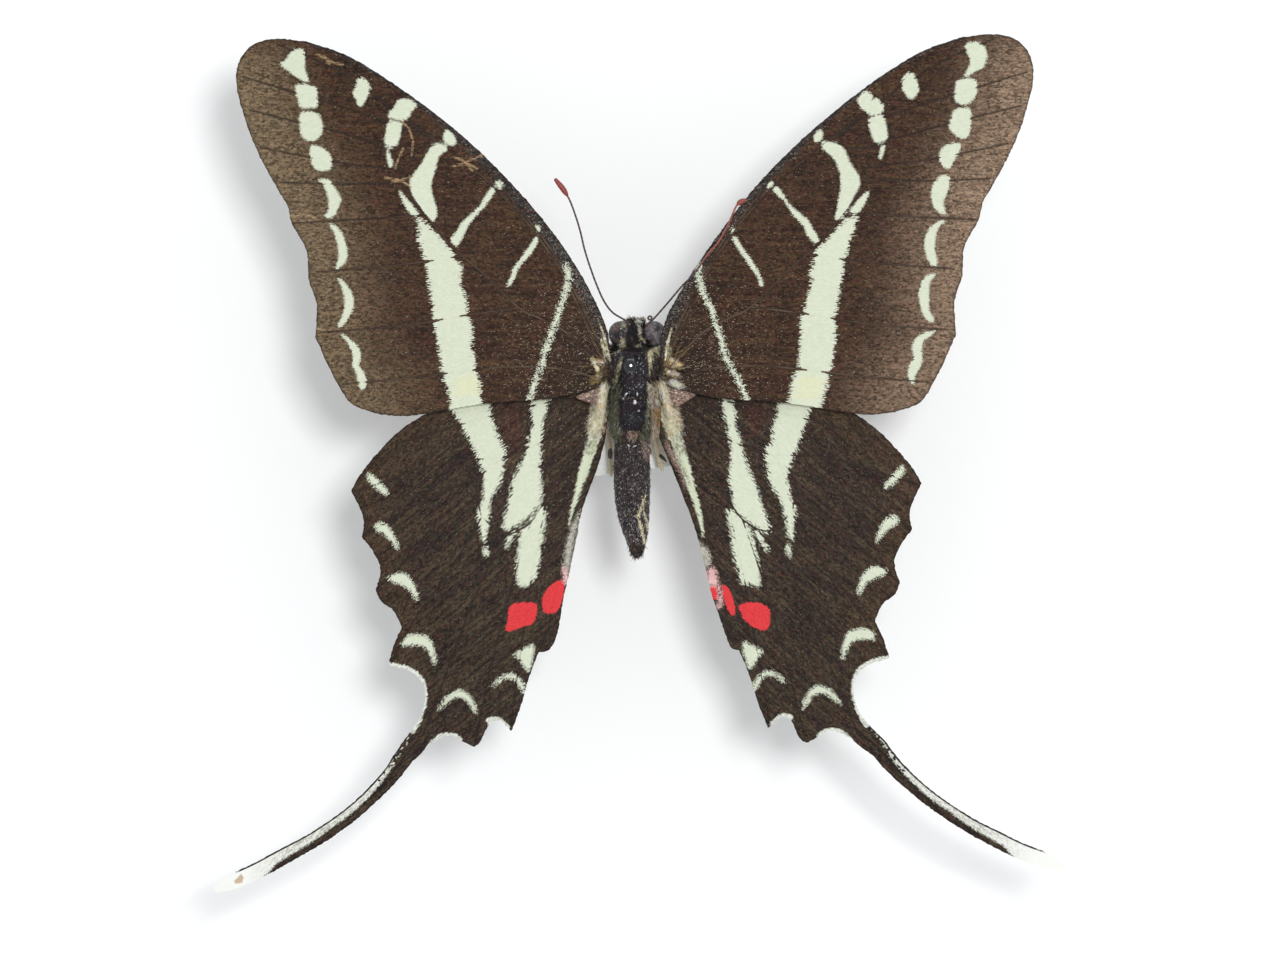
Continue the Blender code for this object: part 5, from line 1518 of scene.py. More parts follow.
backPatches = [
    ("650.5,348.5 650.6,356 650,365 649,375", 0.09, (-0.08, -0.95), 0.12, (0.3, 0.5),
     "straw 3.4 cream 2.4 olive 1.6 black 0.8", 0.30),
    ("650.2,361 649.8,368 649.2,376", 0.04, (-0.08, -0.95), 0.16, (0.25, 0.45), "cream 3 white 1", 0.12),
    ("652.6,347.8 655.2,349.6 657,352", 0.10, (0.85, -0.25), 0.30, (0.36, 0.66),
     "cream 4 straw 2 grey 1.2 buff 1", 0.50),
    ("656,356 654.5,366 654,376", 0.16, (0.05, -0.95), 0.12, (0.3, 0.6), "black 5 plum 2.4 brown 1.6",
     0.32),
    ("621.5,356 619,366 616.4,380", 0.11, (-0.2, -0.95), 0.10, (0.3, 0.55),
     "olive 3 moss 2 green 1.2 black 2", 0.24),
    ("620.6,364 618.2,372 616,381", 0.03, (-0.2, -0.95), 0.12, (0.25, 0.45), "line 2 green 1.6", 0.07),
    ("610.6,352 609.8,364 609.6,378", 0.12, (-0.15, -0.95), 0.12, (0.3, 0.6),
     "black 7 brown 1.2 maroon 1.2", 0.36),
    ("648,382.5 650.4,390 649.6,399 648,408", 0.045, (-0.05, -0.95), 0.14, (0.3, 0.5),
     "cream 3.4 green 1.8 grey 1.2 olive 0.8", 0.30),
    ("647.8,408 647.2,416 646.2,428", 0.05, (-0.05, -0.95), 0.14, (0.3, 0.5), "green 4 moss 2 cream 1",
     0.28),
    ("653.4,386 654.4,396 653.4,404", 0.16, (0.2, -0.9), 0.10, (0.3, 0.6),
     "rose 3 brown 1.6 cream 2.6 black 1.4 buff 1.6", 0.36),
    ("656,405 655,418 653.5,434", 0.18, (0.25, -0.9), 0.10, (0.3, 0.7),
     "buff 2.4 rose 2.4 brown 1.6 maroon 1.4 cream 1.6", 0.40),
    ("654.5,409 657.5,415 661,422", 0.19, (0.5, -0.75), 0.25, (0.3, 0.6),
     "orange 5 gold 2.6 brown 1.3 maroon 1.1 cream 1", 0.60),
    ("659,421 661,425", 0.08, (0.5, -0.7), 0.2, (0.3, 0.5), "gold 2 orange 1", 0.06),
    ("653,398.6 653.6,399.6", 0.012, (0.85, -0.55), 0.30, (0.75, 0.85), "cream 2 line 1", 0.006),
    ("628,433 632,434.6 636.5,433", 0.16, (0.0, -0.75), 0.45, (0.25, 0.5),
     "rose 3 brown 3 buff 1 black 2.4", 0.22),
    ("641,434 645,437", 0.11, (0.2, -0.8), 0.2, (0.3, 0.5), "moss 3 green 1.4 olive 1", 0.12),
    ("646,440 648.5,446 648.5,453", 0.14, (0.15, -0.9), 0.1, (0.25, 0.45),
     "rose 2.4 buff 1.4 brown 2 soot 2", 0.16),
    ("613.5,388 613,398 612.6,410", 0.17, (-0.2, -0.9), 0.05, (0.3, 0.6), "black 4 moss 3 olive 2", 0.30),
    ("614,408 614.5,420 615,434", 0.14, (-0.1, -0.95), 0.05, (0.3, 0.6),
     "green 3 moss 3 olive 2 black 0.9", 0.34),
    ("608.6,388 608,402 608.4,418", 0.09, (-0.2, -0.9), 0.15, (0.25, 0.5),
     "maroon 2 brown 2.4 rose 1.4 black 1.4", 0.24),
    # white tufts on the bare back that stand for painted glints
    ("624.6,397.4 626.6,394", 0.03, (0.5, 0.8), 0.5, (0.18, 0.28), "glint 1", 0.016),
    ("637.2,397 637.4,394.4", 0.03, (0.0, 0.9), 0.4, (0.14, 0.22), "glint 1", 0.012),
    ("635,404.6 635,402", 0.05, (0.0, 0.9), 0.3, (0.16, 0.26), "glint 1", 0.028),
    ("623,399.6 623.4,398.6", 0.03, (0.3, 0.8), 0.5, (0.08, 0.12), "glint 1", 0.006),
    ("638.6,412.2 638.8,411", 0.03, (0.0, 0.9), 0.5, (0.08, 0.12), "glint 1", 0.006),
    ("627,444.2 630,446.6", 0.025, (0.7, -0.5), 0.3, (0.10, 0.16), "glint 1", 0.006),
    ("633,446.8 635.8,446", 0.025, (0.8, 0.3), 0.3, (0.10, 0.16), "glint 1", 0.006),
]


def bodyHeight(plan, side):
    # height of the skin, or of an eye where that is higher, over a place seen from above
    x, z, wide, high = bodyProfile(plan[:, 1])
    off = np.clip((side * plan[:, 0] - x) / wide, -1, 1)
    high = high + bodyRelief(plan[:, 1], np.arccos(off))
    top = z + high * np.sqrt(1 - off ** 2) * np.where(np.abs(off) >= 1, 0.0, 1.0)
    eyeX, eyeY, eyeZ = eyeForm["at"]
    for eye in (-1, 1):
        acrossEye = (side * plan[:, 0] - eyeX - eye * eyeForm["spread"]) / eyeForm["radii"][0]
        far = acrossEye ** 2 + ((plan[:, 1] - eyeY) / eyeForm["radii"][1]) ** 2
        dome = eyeZ + eyeForm["radii"][2] * np.sqrt(np.clip(1 - far, 0, 1))
        top = np.maximum(top, np.where(far < 1, dome, 0))
    return top


def patchTufts(name, patches, amount, seed):
    # signed plan coordinates: right is plus
    made = []
    for index, (line, wide, way, rise, reach, mix, share) in enumerate(patches):
        count = max(4, int(amount * share * (0.5 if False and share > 0.02 else 1.0)))
        pick = np.random.default_rng(seed + index)
        path = smoothLine(drawn(line) * (-1, 1), 60)
        along = pick.random(count)
        plan = path[(along * 60).astype(int)] + pick.normal(0, wide, (count, 2))
        glinting = mix.startswith("glint")
        roots = np.column_stack([plan, bodyHeight(plan, 1) + (0.03 if glinting else -0.03)])
        turn = pick.normal(0, 0.22, count)
        wayX, wayY = turnedWays(way, turn)
        ways = np.column_stack([wayX, wayY,
                                rise + pick.normal(0, 0.12, count)]) + clumpSway(roots, pick, 0.18)
        tones = paletteMix(mix, roots, pick, contrast=0.1 if glinting else 1.35)
        width = coat["strand"] * (1.8 if glinting else 0.95)
        made.append(tuftMesh(name, roots, ways, pick.uniform(*reach, count), width, (0, 0, 1), -0.12,
                             tones, skinPlace(roots), seed + 30 + index))
    finishPiece(newObject(name, joinedMesh(name, made)), [tuftMaterial(name, 0.6)])


# hair on the wings, each patch: from and to on the wing, its width, its way, length, tones and chances
wingHair = {  # plan millimetres outwards and forwards, drawn for the side that is named
    "left": [
        ("rootUnder", "607,348 606,360 604,372 601,381", 0.50, (0.75, -0.45), (0.3, 0.5),
         "brown 4 olive 3 maroon 2 black 2 gold 1.4", 0.70),
        ("rootRays", "602,350 600,356 603,360", 0.30, (0.70, 0.72), (0.8, 2.4),
         "brown 3 rose 1.4 maroon 2 black 3 straw 0.8", 0.06),
        ("rootFan", "598,362 596,368 597,376", 0.34, (0.98, 0.06), (0.7, 2.0),
         "black 4 maroon 2 brown 2 straw 0.7", 0.04),
        ("rootSpeck", "578.4,354.6 580.6,353.4", 0.03, (-0.9, 0.4), (0.1, 0.2), "white 1", 0.006),
        ("rootFront", "601,340 605,348 607.5,358", 0.20, (-0.10, -0.95), (0.25, 0.5),
         "cream 4 straw 3 olive 2 brown 1.4", 0.70),
        ("rootLine", "603,333 606,345 609.6,360", 0.04, (-0.35, -0.95), (0.25, 0.4),
         "cream 4 line 2 white 1", 0.24),
        ("rootMiddle", "608,361 602,362.5 596,364", 0.22, (0.95, 0.15), (0.25, 0.55),
         "gold 3 cream 3 straw 2 brown 2 orange 1", 0.60),
        ("rootCream", "594,360 597,366 599.5,372", 0.13, (0.7, 0.5), (0.25, 0.5),
         "cream 4 straw 2 white 1 gold 1.4", 0.26),
        ("rootRear", "602,373 598,377 594,381", 0.26, (0.9, -0.35), (0.25, 0.5),
         "mustard 5 olive 2 gold 1.6 cream 1 brown 1.6", 0.60),
        ("rootBase", "609.6,364 609.4,374 607,382", 0.16, (0.75, -0.35), (0.25, 0.5),
         "maroon 3 brown 3 rose 2 black 2", 0.40),
        ("inner", "604.6,386 602.6,396 600.4,408 598.5,419 595.5,431", 0.58, (0.40, -0.85), (0.3, 0.5),
         "cream 5 buff 1.6 paleGreen 2.4 straw 0.8", 2.7),
        ("innerFan", "601,390 597,402 594.4,414 592.6,428", 0.26, (0.85, -0.50), (0.3, 0.7),
         "cream 4 paleGreen 2.4 gold 1.2 brown 1.6", 0.62),
        ("innerEnd", "596,427 593,437 588.6,451", 0.40, (0.42, -0.85), (0.22, 0.4),
         "paleGreen 5 cream 1.2 green 1", 0.62),
        ("innerOver", "605.8,384 604.4,392 602.8,401 600.4,412", 0.30, (0.42, -0.85), (0.35, 0.6),
         "cream 5 straw 1.2 buff 1.6", 0.75),
        ("innerEdge", "608.4,388 607,402 605.4,418 603,430", 0.12, (0.2, -0.9), (0.3, 0.5),
         "rose 3 brown 3 maroon 2 buff 2", 0.40),
    ],
    "right": [
        ("rootUnder", "667,346 667,358 666,370 667,381", 0.50, (0.75, -0.45), (0.3, 0.5),
         "brown 4 olive 3 maroon 2 black 2 gold 1.6", 0.80),
        ("rootRays", "671,352 675,358 676,364", 0.30, (0.76, 0.62), (0.8, 2.2),
         "brown 3 maroon 3 black 3 gold 1", 0.06),
        ("rootFan", "676,364 678,369 676,376", 0.34, (0.98, 0.12), (0.7, 2.0),
         "black 4 maroon 2 brown 2 straw 0.7", 0.04),
        ("rootFront", "669,343 668.5,352 668,360", 0.20, (0.25, -0.9), (0.25, 0.5),
         "olive 3 gold 2 straw 2 cream 2 brown 1.4", 0.50),
        ("rootLine", "668.8,337 667,348 665.8,358", 0.04, (-0.10, -0.95), (0.25, 0.4),
         "cream 4 line 2 white 1", 0.22),
        ("rootMiddle", "666,361 671,364 678,367", 0.28, (0.85, 0.45), (0.3, 0.7),
         "gold 3 cream 2.4 mustard 1.6 orange 1.4 brown 2.4", 0.60),
        ("rootRear", "665,371 671,373 677,376", 0.22, (0.9, -0.2), (0.3, 0.6),
         "gold 2.4 cream 2.4 rose 2 mustard 1.6 maroon 1.6", 0.50),
        ("rootHoar", "667,380 673,383 679,386", 0.22, (0.92, -0.3), (0.3, 0.8),
         "grey 3 cream 3.4 white 2 straw 1.4", 0.55),
        ("rootBase", "657.6,368 660,375 663,381", 0.18, (0.8, -0.3), (0.25, 0.5),
         "maroon 2.4 brown 3 cream 1.8 black 2.4 rose 1.6", 0.48),
        ("inner", "663,386 665,397 668,409 671,421 674.5,432", 0.60, (0.45, -0.85), (0.3, 0.5),
         "cream 5 buff 3 straw 0.8 paleGreen 1.2", 2.7),
        ("innerFan", "668,390 672,402 675.6,415 677.6,428", 0.26, (0.85, -0.50), (0.3, 0.7),
         "cream 4 buff 2.4 gold 1.4 brown 1.4", 0.62),
        ("innerEnd", "673.6,428 677,438 681,451", 0.40, (0.42, -0.85), (0.22, 0.4),
         "paleGreen 5 cream 1.2 green 1", 0.62),
        ("innerOver", "660,382 663,391 666,402 669,413", 0.34, (0.50, -0.8), (0.35, 0.6),
         "cream 5 straw 1.2 buff 2.4 rose 0.8", 0.8),
    ],
}


def makeWingHair():
    for word, side in sides.items():
        made = []
        for index, (name, line, wide, way, reach, mix, share) in enumerate(wingHair[word]):
            count = int(coat["wingHair"] * share * (1.0))
            pick = np.random.default_rng(40 + 10 * index + side)
            path = smoothLine(drawn(line) * (-side, 1), 60)
            along = pick.random(count)
            plan = path[(along * 60).astype(int)] + pick.normal(0, wide * 0.5, (count, 2))
            plan[:, 0] = np.maximum(plan[:, 0], 1.9)
            onFore = name.startswith("root")
            height = (forewingHeight(plan) if onFore else hindwingHeight(plan)) + 0.12
            if name == "innerOver":  # over the inner half of the flap
                height = np.maximum(height, forewingHeight(plan) + 0.36)
            near = np.clip((2.9 - plan[:, 0]) / 0.8, 0, 1)  # beside the body the hair starts on its flank
            roots = np.column_stack([side * plan[:, 0], plan[:, 1], height - near * 0.25])
            turn = pick.normal(0, 0.26, count)
            wayX, wayY = turnedWays(way, turn)
            ways = np.column_stack([side * wayX, wayY, 0.10 + pick.normal(0, 0.06, count)])
            ways += clumpSway(roots, pick, 0.14) * (1, 1, 0.3)
            tones = paletteMix(mix, roots, pick, contrast=0.6 if name in ("inner", "innerOver") else 1.1)
            uv = np.column_stack([0.5 + side * (0.05 + 0.04 * index)
                                  + pick.uniform(-0.015, 0.015, count), 0.1 + 0.6 * along])
            made.append(tuftMesh(name, roots, ways, pick.uniform(*reach, count), coat["strand"],
                                 (0, 0, 1), -0.06, tones, uv, 50 + index))
        for title, front in (("rootHair" + word.title(), True), ("innerHair" + word.title(), False)):
            own = [mesh for mesh, patch in zip(made, wingHair[word])
                   if patch[0].startswith("root") == front]
            finishPiece(newObject(title, joinedMesh(title, own)), [tuftMaterial(title, 0.6)])


flaps = {  # the small folded membrane behind each forewing's root: corners seen from above
    "left": drawn("606,387 596,389 577,396 582,400.5 597,404.5 604,398"),
    "right": drawn("664,387 676,389.5 695,394.5 688,400.5 675,407.5 666,400"),
}


def makeFlaps():
    for word, side in sides.items():
        corners = smoothLoop(np.column_stack([np.abs(flaps[word][:, 0]), flaps[word][:, 1]]), 5)
        bm = bmesh.new()
        bm.faces.new([bm.verts.new((x, y, 0)) for x, y in corners])
        bmesh.ops.triangulate(bm, faces=bm.faces[:])
        bmesh.ops.subdivide_edges(bm, edges=bm.edges[:], cuts=2, use_grid_fill=True)
        for vert in bm.verts:
            plan = np.array([[vert.co.x, vert.co.y]])
            fold = 0.16 * math.sin((vert.co.x + vert.co.y * 1.6) * 3.4)
            vert.co = Vector((side * vert.co.x, vert.co.y,
                              float(forewingHeight(plan)[0]) + 0.22 + fold * 0.5))
        bmesh.ops.recalc_face_normals(bm, faces=bm.faces[:])
        bmesh.ops.solidify(bm, geom=bm.faces[:], thickness=0.06)
        mesh = meshFrom("flap" + word.title(), bm)
        mesh.shade_smooth()
        material, shader = newMaterial("flapSkin" + word.title())
        rows = placeRows(0.09, 0.16, 30 * side, 0.05)
        teeth = placeRows(0.16, 1.4, 24 * side, 0.0)["Teeth"]
        tone = mixColour(spread(teeth, 0.35, 0.65, 0.0, 0.6), colour(96, 76, 69), colour(170, 146, 128))
        tone = mixColour(1.0, tone, mixColour(rows["Grain"], (0.35, 0.33, 0.33, 1), (1.6, 1.6, 1.6, 1)),
                         "MULTIPLY")
        tone = mixColour(times(rows["Spark"], 0.8), tone, colour(220, 204, 190))
        finishShader(shader, tone, 0.6, 0.2, teeth, 0.5, 0.00005)
        finishPiece(newObject("flap" + word.title(), mesh), [material])


# Eyes, feelers, mouth and legs

eyeForm = {"radii": (1.20, 1.27, 1.30), "spread": 1.55, "at": (0.22, 4.92, 19.75), "facet": 0.055}
eyeTone = {  # ground, blotches and the painted shade round the rim, spots, and how strong the spots are
    "left": (colour(70, 56, 54), colour(14, 11, 13), colour(138, 118, 114), 0.65),
    "right": (colour(80, 71, 74), colour(20, 17, 20), colour(148, 138, 143), 0.62),
}


def eyeMaterial(word):
    light, dark, spot, strength = eyeTone[word]
    material, shader = newMaterial("eyeShell" + word.title())
    facets = texture("Voronoi", 1 / (eyeForm["facet"] * millimetre), feature="DISTANCE_TO_EDGE")
    feed(facets["Distance"].node.inputs["Randomness"], 0.25)
    blotch = texture("Voronoi", 7000, feature="F1")
    parts = channels(blotch["Color"])
    cloud = texture("Noise", 1150, 5)["Fac"]
    tone = mixColour(spread(cloud, 0.40, 0.68), light, dark)
    mottle = times(spread(parts[0], 0.35, 1.0), spread(cloud, 0.62, 0.42))
    tone = mixColour(times(mottle, strength), tone, spot)
    # the eye is painted darker towards its rim, a painted shade where its surface turns away
    tone = mixColour(spread(readValue("dome"), 0.20, 0.72, 0.85, 0.0, True), tone, dark)
    # the pale flecks on the eye are painted glints
    fleck = times(above(parts[1], 0.955), spread(blotch["Distance"], 0.60, 0.40))
    tone = mixColour(times(fleck, 0.85), tone, colour(222, 214, 214))
    relief = plus(spread(facets["Distance"], 0.0, 0.25), times(cloud, 3.0))
    finishShader(shader, tone, 0.28, 0.32, relief, 0.6, 0.00002)
    return material


def makeEyes():
    x, y, z = eyeForm["at"]
    for word, side in sides.items():
        bm = bmesh.new()
        place = Matrix.Translation((x + side * eyeForm["spread"], y, z))
        turn = Matrix.Rotation(math.radians(side * -14), 4, "Z")
        bmesh.ops.create_icosphere(bm, subdivisions=5, radius=1.0,
                                   matrix=place @ turn @ Matrix.Diagonal((*eyeForm["radii"], 1)))
        obj = newObject("eye" + word.title(), meshFrom("eye" + word.title(), bm))
        obj.data.shade_smooth()
        addValues(obj.data, "dome", (meshPoints(obj.data)[:, 2] / millimetre - z) / eyeForm["radii"][2])
        finishPiece(obj, [eyeMaterial(word)], ["eye_" + word])


def tubePiece(name, points, radii, sides=2):
    # a round tapering tube through the points, in millimetres
    data = bpy.data.curves.new(name, "CURVE")
    data.dimensions = "3D"
    data.bevel_depth = millimetre
    data.bevel_resolution = sides
    data.use_fill_caps = True
    spline = data.splines.new("POLY")
    spline.points.add(len(points) - 1)
    for knot, point, radius in zip(spline.points, points, radii):
        knot.co = (*(np.asarray(point) * millimetre), 1)
        knot.radius = radius
    mesh = applied(newObject(name, data))
    bm = bmesh.new()
    bm.from_mesh(mesh)
    bmesh.ops.remove_doubles(bm, verts=bm.verts[:], dist=1e-7)
    bmesh.ops.recalc_face_normals(bm, faces=bm.faces[:])
    bm.to_mesh(mesh)
    bm.free()
    mesh.shade_smooth()
    return mesh


feeler = {
    "shaft": 0.092, "club": 0.28, "clubFrom": 0.85, "rings": 44,
    "clubTone": {"left": colour(134, 52, 46), "right": colour(138, 66, 52)},
    "reddens": {"left": (0.80, 0.88), "right": (0.40, 0.52)},
    "left": places("-0.5,5.75,20.95 -0.95,6.2,21.2 -2.1,6.9,21.6 -2.9,7.9,22 -3.6,9.4,22.4 "
                   "-4.3,11.3,22.8 -4.8,12.9,23.1 -5.2,14.6,23.4 -5.7,16.2,23.6 -6.2,17.5,23.7 "
                   "-6.8,18.5,23.8 -7.6,19.5,23.9"),
    "right": places("1.06,5.75,20.95 1.85,6.4,21.4 3.2,7.9,22.3 4.5,9.4,23 5.6,10.5,23.4 6.8,12.2,23.6 "
                    "7.9,13.5,23.7 8.8,15.1,23.85 9.5,16.7,23.9 9.9,17.2,23.95 10.5,17.5,24"),
}


def makeFeelers():
    for word in ("left", "right"):
        chords = feeler["rings"] * 4
        line = smoothLine(feeler[word], chords)
        share = np.linspace(0, 1, chords + 1)
        club = np.clip((share - feeler["clubFrom"]) / (1 - feeler["clubFrom"]), 0, 1)
        swell = np.sin(club ** 0.8 * math.pi * 0.93) ** 0.8
        radius = feeler["shaft"] + (feeler["club"] - feeler["shaft"]) * swell
        radius *= 1 - 0.10 * (np.arange(chords + 1) % 4 == 0)  # a waist at every joint
        radius[:6] *= np.linspace(1.9, 1.0, 6)
        radius[-1] *= 0.5
        mesh = tubePiece("feeler" + word.title(), line, radius)
        if word == "right":  # a hair curled into a ring at its foot
            turns = np.linspace(0, 2 * math.pi, 25)
            ring = np.column_stack([1.43 + 0.17 * np.cos(turns), 6.43 + 0.17 * np.sin(turns),
                                    np.full(25, 20.9)])
            mesh = joinedMesh("feelerRight", [mesh, tubePiece("ring", ring, [0.092] * 25, 1)])
        points = meshPoints(mesh) / millimetre
        flat = lineDistance(points[:, :2], line[:, :2])[2]
        addValues(mesh, "along", flat)
        material, shader = newMaterial("feelerHorn" + word.title())
        along = readValue("along")
        joints = calc("ABSOLUTE", minus(calc("FRACT", times(along, feeler["rings"])), 0.5))
        tone = mixColour(spread(joints, 0.34, 0.46), colour(52, 38, 40), colour(96, 72, 66))
        tone = mixColour(spread(along, *feeler["reddens"][word]), tone, feeler["clubTone"][word])
        finishShader(shader, mixColour(spread(along, 0.02, 0.07, 0.4, 0.0), tone, colour(96, 62, 57)),
                     0.42)
        finishPiece(newObject("feeler" + word.title(), mesh), [material], ["antenna_" + word])


legForm = {
    "front": places("0.6,2.55,17.75 1.5,4.4,16.9 1.12,1.6,16.15 0.75,-1.1,15.75"),
    "middle": places("0.8,0.2,17.6 2.1,2.5,16.9 1.5,-1.6,16.3 1.3,-5,16"),
    "hind": places("0.95,-2.5,17.55 2.8,-0.3,17.2 2.3,-4.6,16.7 2.1,-8.6,16.4"),
    "hindRight": places("0.95,-2.5,17.55 2.8,-0.3,17.2 2.15,-4.9,16.7 2.8,-8,16.4"),
    "thigh": 0.33, "shin": 0.28, "foot": 0.27, "spines": 22, "hindSize": {"left": 1.2, "right": 1.85},
    "bulb": (-2.40, -6.5, 16.75), "bulbSize": (0.25, 0.56, 0.25),
    "hook": places("2.35,-6.65,16.8 2.75,-6.95,16.85 3.05,-7.3,16.8"),
}


def makeLegs(horn, darkHorn):
    for word, side in sides.items():
        for place in ("front", "middle", "hind"):
            joints = legForm.get(place + word.title(), legForm[place])
            hip, knee, ankle, toe = (Vector((-0.2 + side * x, y, z)) for x, y, z in joints)
            line, radii = [], []
            for part, first, second, near, middle, far in (
                    ("thigh", hip, knee, 0.75, 1.0, 0.6), ("shin", knee, ankle, 0.9, 0.85, 0.8),
                    ("foot", ankle, toe, 0.9, 0.8, 0.7)):
                size = legForm[part]
                for i in range(7):
                    t = i / 7
                    line.append(first.lerp(second, t + 0.01))
                    bulge = near + (middle - near) * min(1, t * 3) + (far - middle) * max(0, t - 0.4) / 0.6
                    joint = 0.82 if size == legForm["foot"] and i % 2 else 1.0
                    radii.append(size * bulge * joint
                                 * (legForm["hindSize"][word] if place == "hind" else 1.0))
            line.append(toe)
            radii.append(legForm["foot"] * 0.5)
            pieces = [tubePiece("leg", line, radii)]
            pick = random.Random(place + word)
            along = (ankle - knee).normalized()
            for i in range(legForm["spines"]):
                share = pick.random()
                on = knee.lerp(ankle, 0.3 + 0.7 * share) if i % 2 else ankle.lerp(toe, share)
                way = Vector([pick.uniform(-1, 1) for _ in range(3)])
                way = way.cross(along).normalized() * 0.6 + along * 0.8
                pieces.append(tubePiece("spine", [on, on + way * 0.16, on + way * 0.32],
                                        [0.022, 0.016, 0.004], 0))
            if place == "hind":
                if word == "left":
                    bm = bmesh.new()
                    shape = Matrix.Translation(legForm["bulb"]) @ Matrix.Diagonal((*legForm["bulbSize"], 1))
                    bmesh.ops.create_icosphere(bm, subdivisions=3, radius=1.0, matrix=shape)
                    dark = meshFrom("bulb", bm)
                else:
                    dark = tubePiece("hook", legForm["hook"], [0.2, 0.16, 0.05], 1)
                dark.polygons.foreach_set("material_index", [1] * len(dark.polygons))
                pieces.append(dark)
            for way in (-1, 1):
                tipWay = (toe - ankle).normalized()
                line = [toe, toe + tipWay * 0.12 + Vector((way * 0.09, 0, 0)),
                        toe + tipWay * 0.22 + Vector((way * 0.12, 0, -0.07))]
                pieces.append(tubePiece("claw", line, [0.04, 0.03, 0.008], 0))
            name = "leg" + place.title() + word.title()
            finishPiece(newObject(name, joinedMesh(name, pieces)), [horn, darkHorn],
                        [f"leg_{place}_{word}"])


def makeMouth(horn, hairy):
    x, y, z = 0.28, 5.05, 19.7
    for word, side in sides.items():
        line = smoothLine([(x + side * 0.42, y + 0.55, z - 1.45), (x + side * 0.42, y + 1.10, z - 1.30),
                           (x + side * 0.42, y + 1.28, z - 0.55),
                           (x + side * 0.40, y + 1.10, z + 0.10)], 16)
        radii = 0.25 * np.interp(np.linspace(0, 1, 17), [0, 0.3, 0.7, 0.9, 1], [0.8, 1.05, 1.0, 0.7, 0.3])
        mesh = tubePiece("palp" + word.title(), line, radii)
        pick = np.random.default_rng(60 + side)
        count = 260
        t = pick.integers(0, 17, count)
        around = pick.uniform(0, 2 * math.pi, count)
        out = np.column_stack([np.cos(around), np.sin(around) * 0.8, np.sin(around) * 0.5])
        roots = line[t] + out * (radii[t] * 0.8)[:, None]
        ways = out * 0.55 + np.array([0.0, 0.55, 0.75])
        mix = paletteMix("black 4 white 2 cream 1", roots, pick)
        mix[out[:, 2] > 0.05] *= 0.25
        uv = np.column_stack([np.full(count, 0.5) + side * 0.2, t / 17 * 0.1])
        bristles = tuftMesh("palpHair" + word.title(), roots, ways, pick.uniform(0.18, 0.4, count),
                            0.014, out, 0.1, mix, uv, 62 + side)
        finishPiece(newObject("palp" + word.title(), mesh), [horn], ["palp_" + word])
        finishPiece(newObject("palpHair" + word.title(), bristles), [hairy])
    turns = np.linspace(0, 1, 90)
    angle = np.radians(90 + 800 * turns)
    radius = 0.95 + (0.16 - 0.95) * turns
    coil = np.column_stack([np.full(90, x) + 0.02 * np.sin(angle), 5.25 + radius * np.cos(angle),
                            17.05 + radius * np.sin(angle)])
    mesh = tubePiece("tongue", coil, 0.10 * (1.1 - 0.5 * turns))
    finishPiece(newObject("tongue", mesh), [horn], ["tongue"])


def hornMaterial(name, dark, light, roughness):
    material, shader = newMaterial(name)
    rows = placeRows(0.05, 0.12, 90, 0.03)
    finishShader(shader, mixColour(rows["Grain"], dark, light), roughness, None, rows["Relief"], 0.4,
                 0.00002)
    return material


def makeBody():
    skin = makeSkin()
    finishPiece(skin, [skinMaterial()], ["head", "thorax", "abdomen"])
    print("skin made")
    makeCoat(skin)
    patchTufts("headHair", headPatches, coat["patches"], 200)
    patchTufts("backTufts", backPatches, coat["patches"], 300)
    makeWingHair()
    makeFlaps()
    makeEyes()
    makeFeelers()
    horn = hornMaterial("legHorn", colour(168, 154, 124), colour(220, 208, 180), 0.55)
    makeLegs(horn, hornMaterial("legJoint", colour(34, 34, 28), colour(92, 92, 74), 0.6))
    makeMouth(horn, tuftMaterial("palpBristles", 0.55))
    print("body made")


makeBody()


# Pin, card and block

stand = {
    "pinAt": (-0.4, 1.4), "pinRadius": 0.24, "headRadius": 0.66, "pinFoot": 0.8, "pinTop": 35.8,
    "facetWay": (0.073, 0.034, 1.0), "facetAt": 0.982,  # a small flat spot on the pin's head
    "cardAt": (-1.14, -1.95), "cardTurn": 7.6, "cardSize": (18.0, 12.6, 0.32), "cardZ": 14.38,
    "blockSize": (17.4, 11.8, 6.0), "blockEdge": 0.35,
}


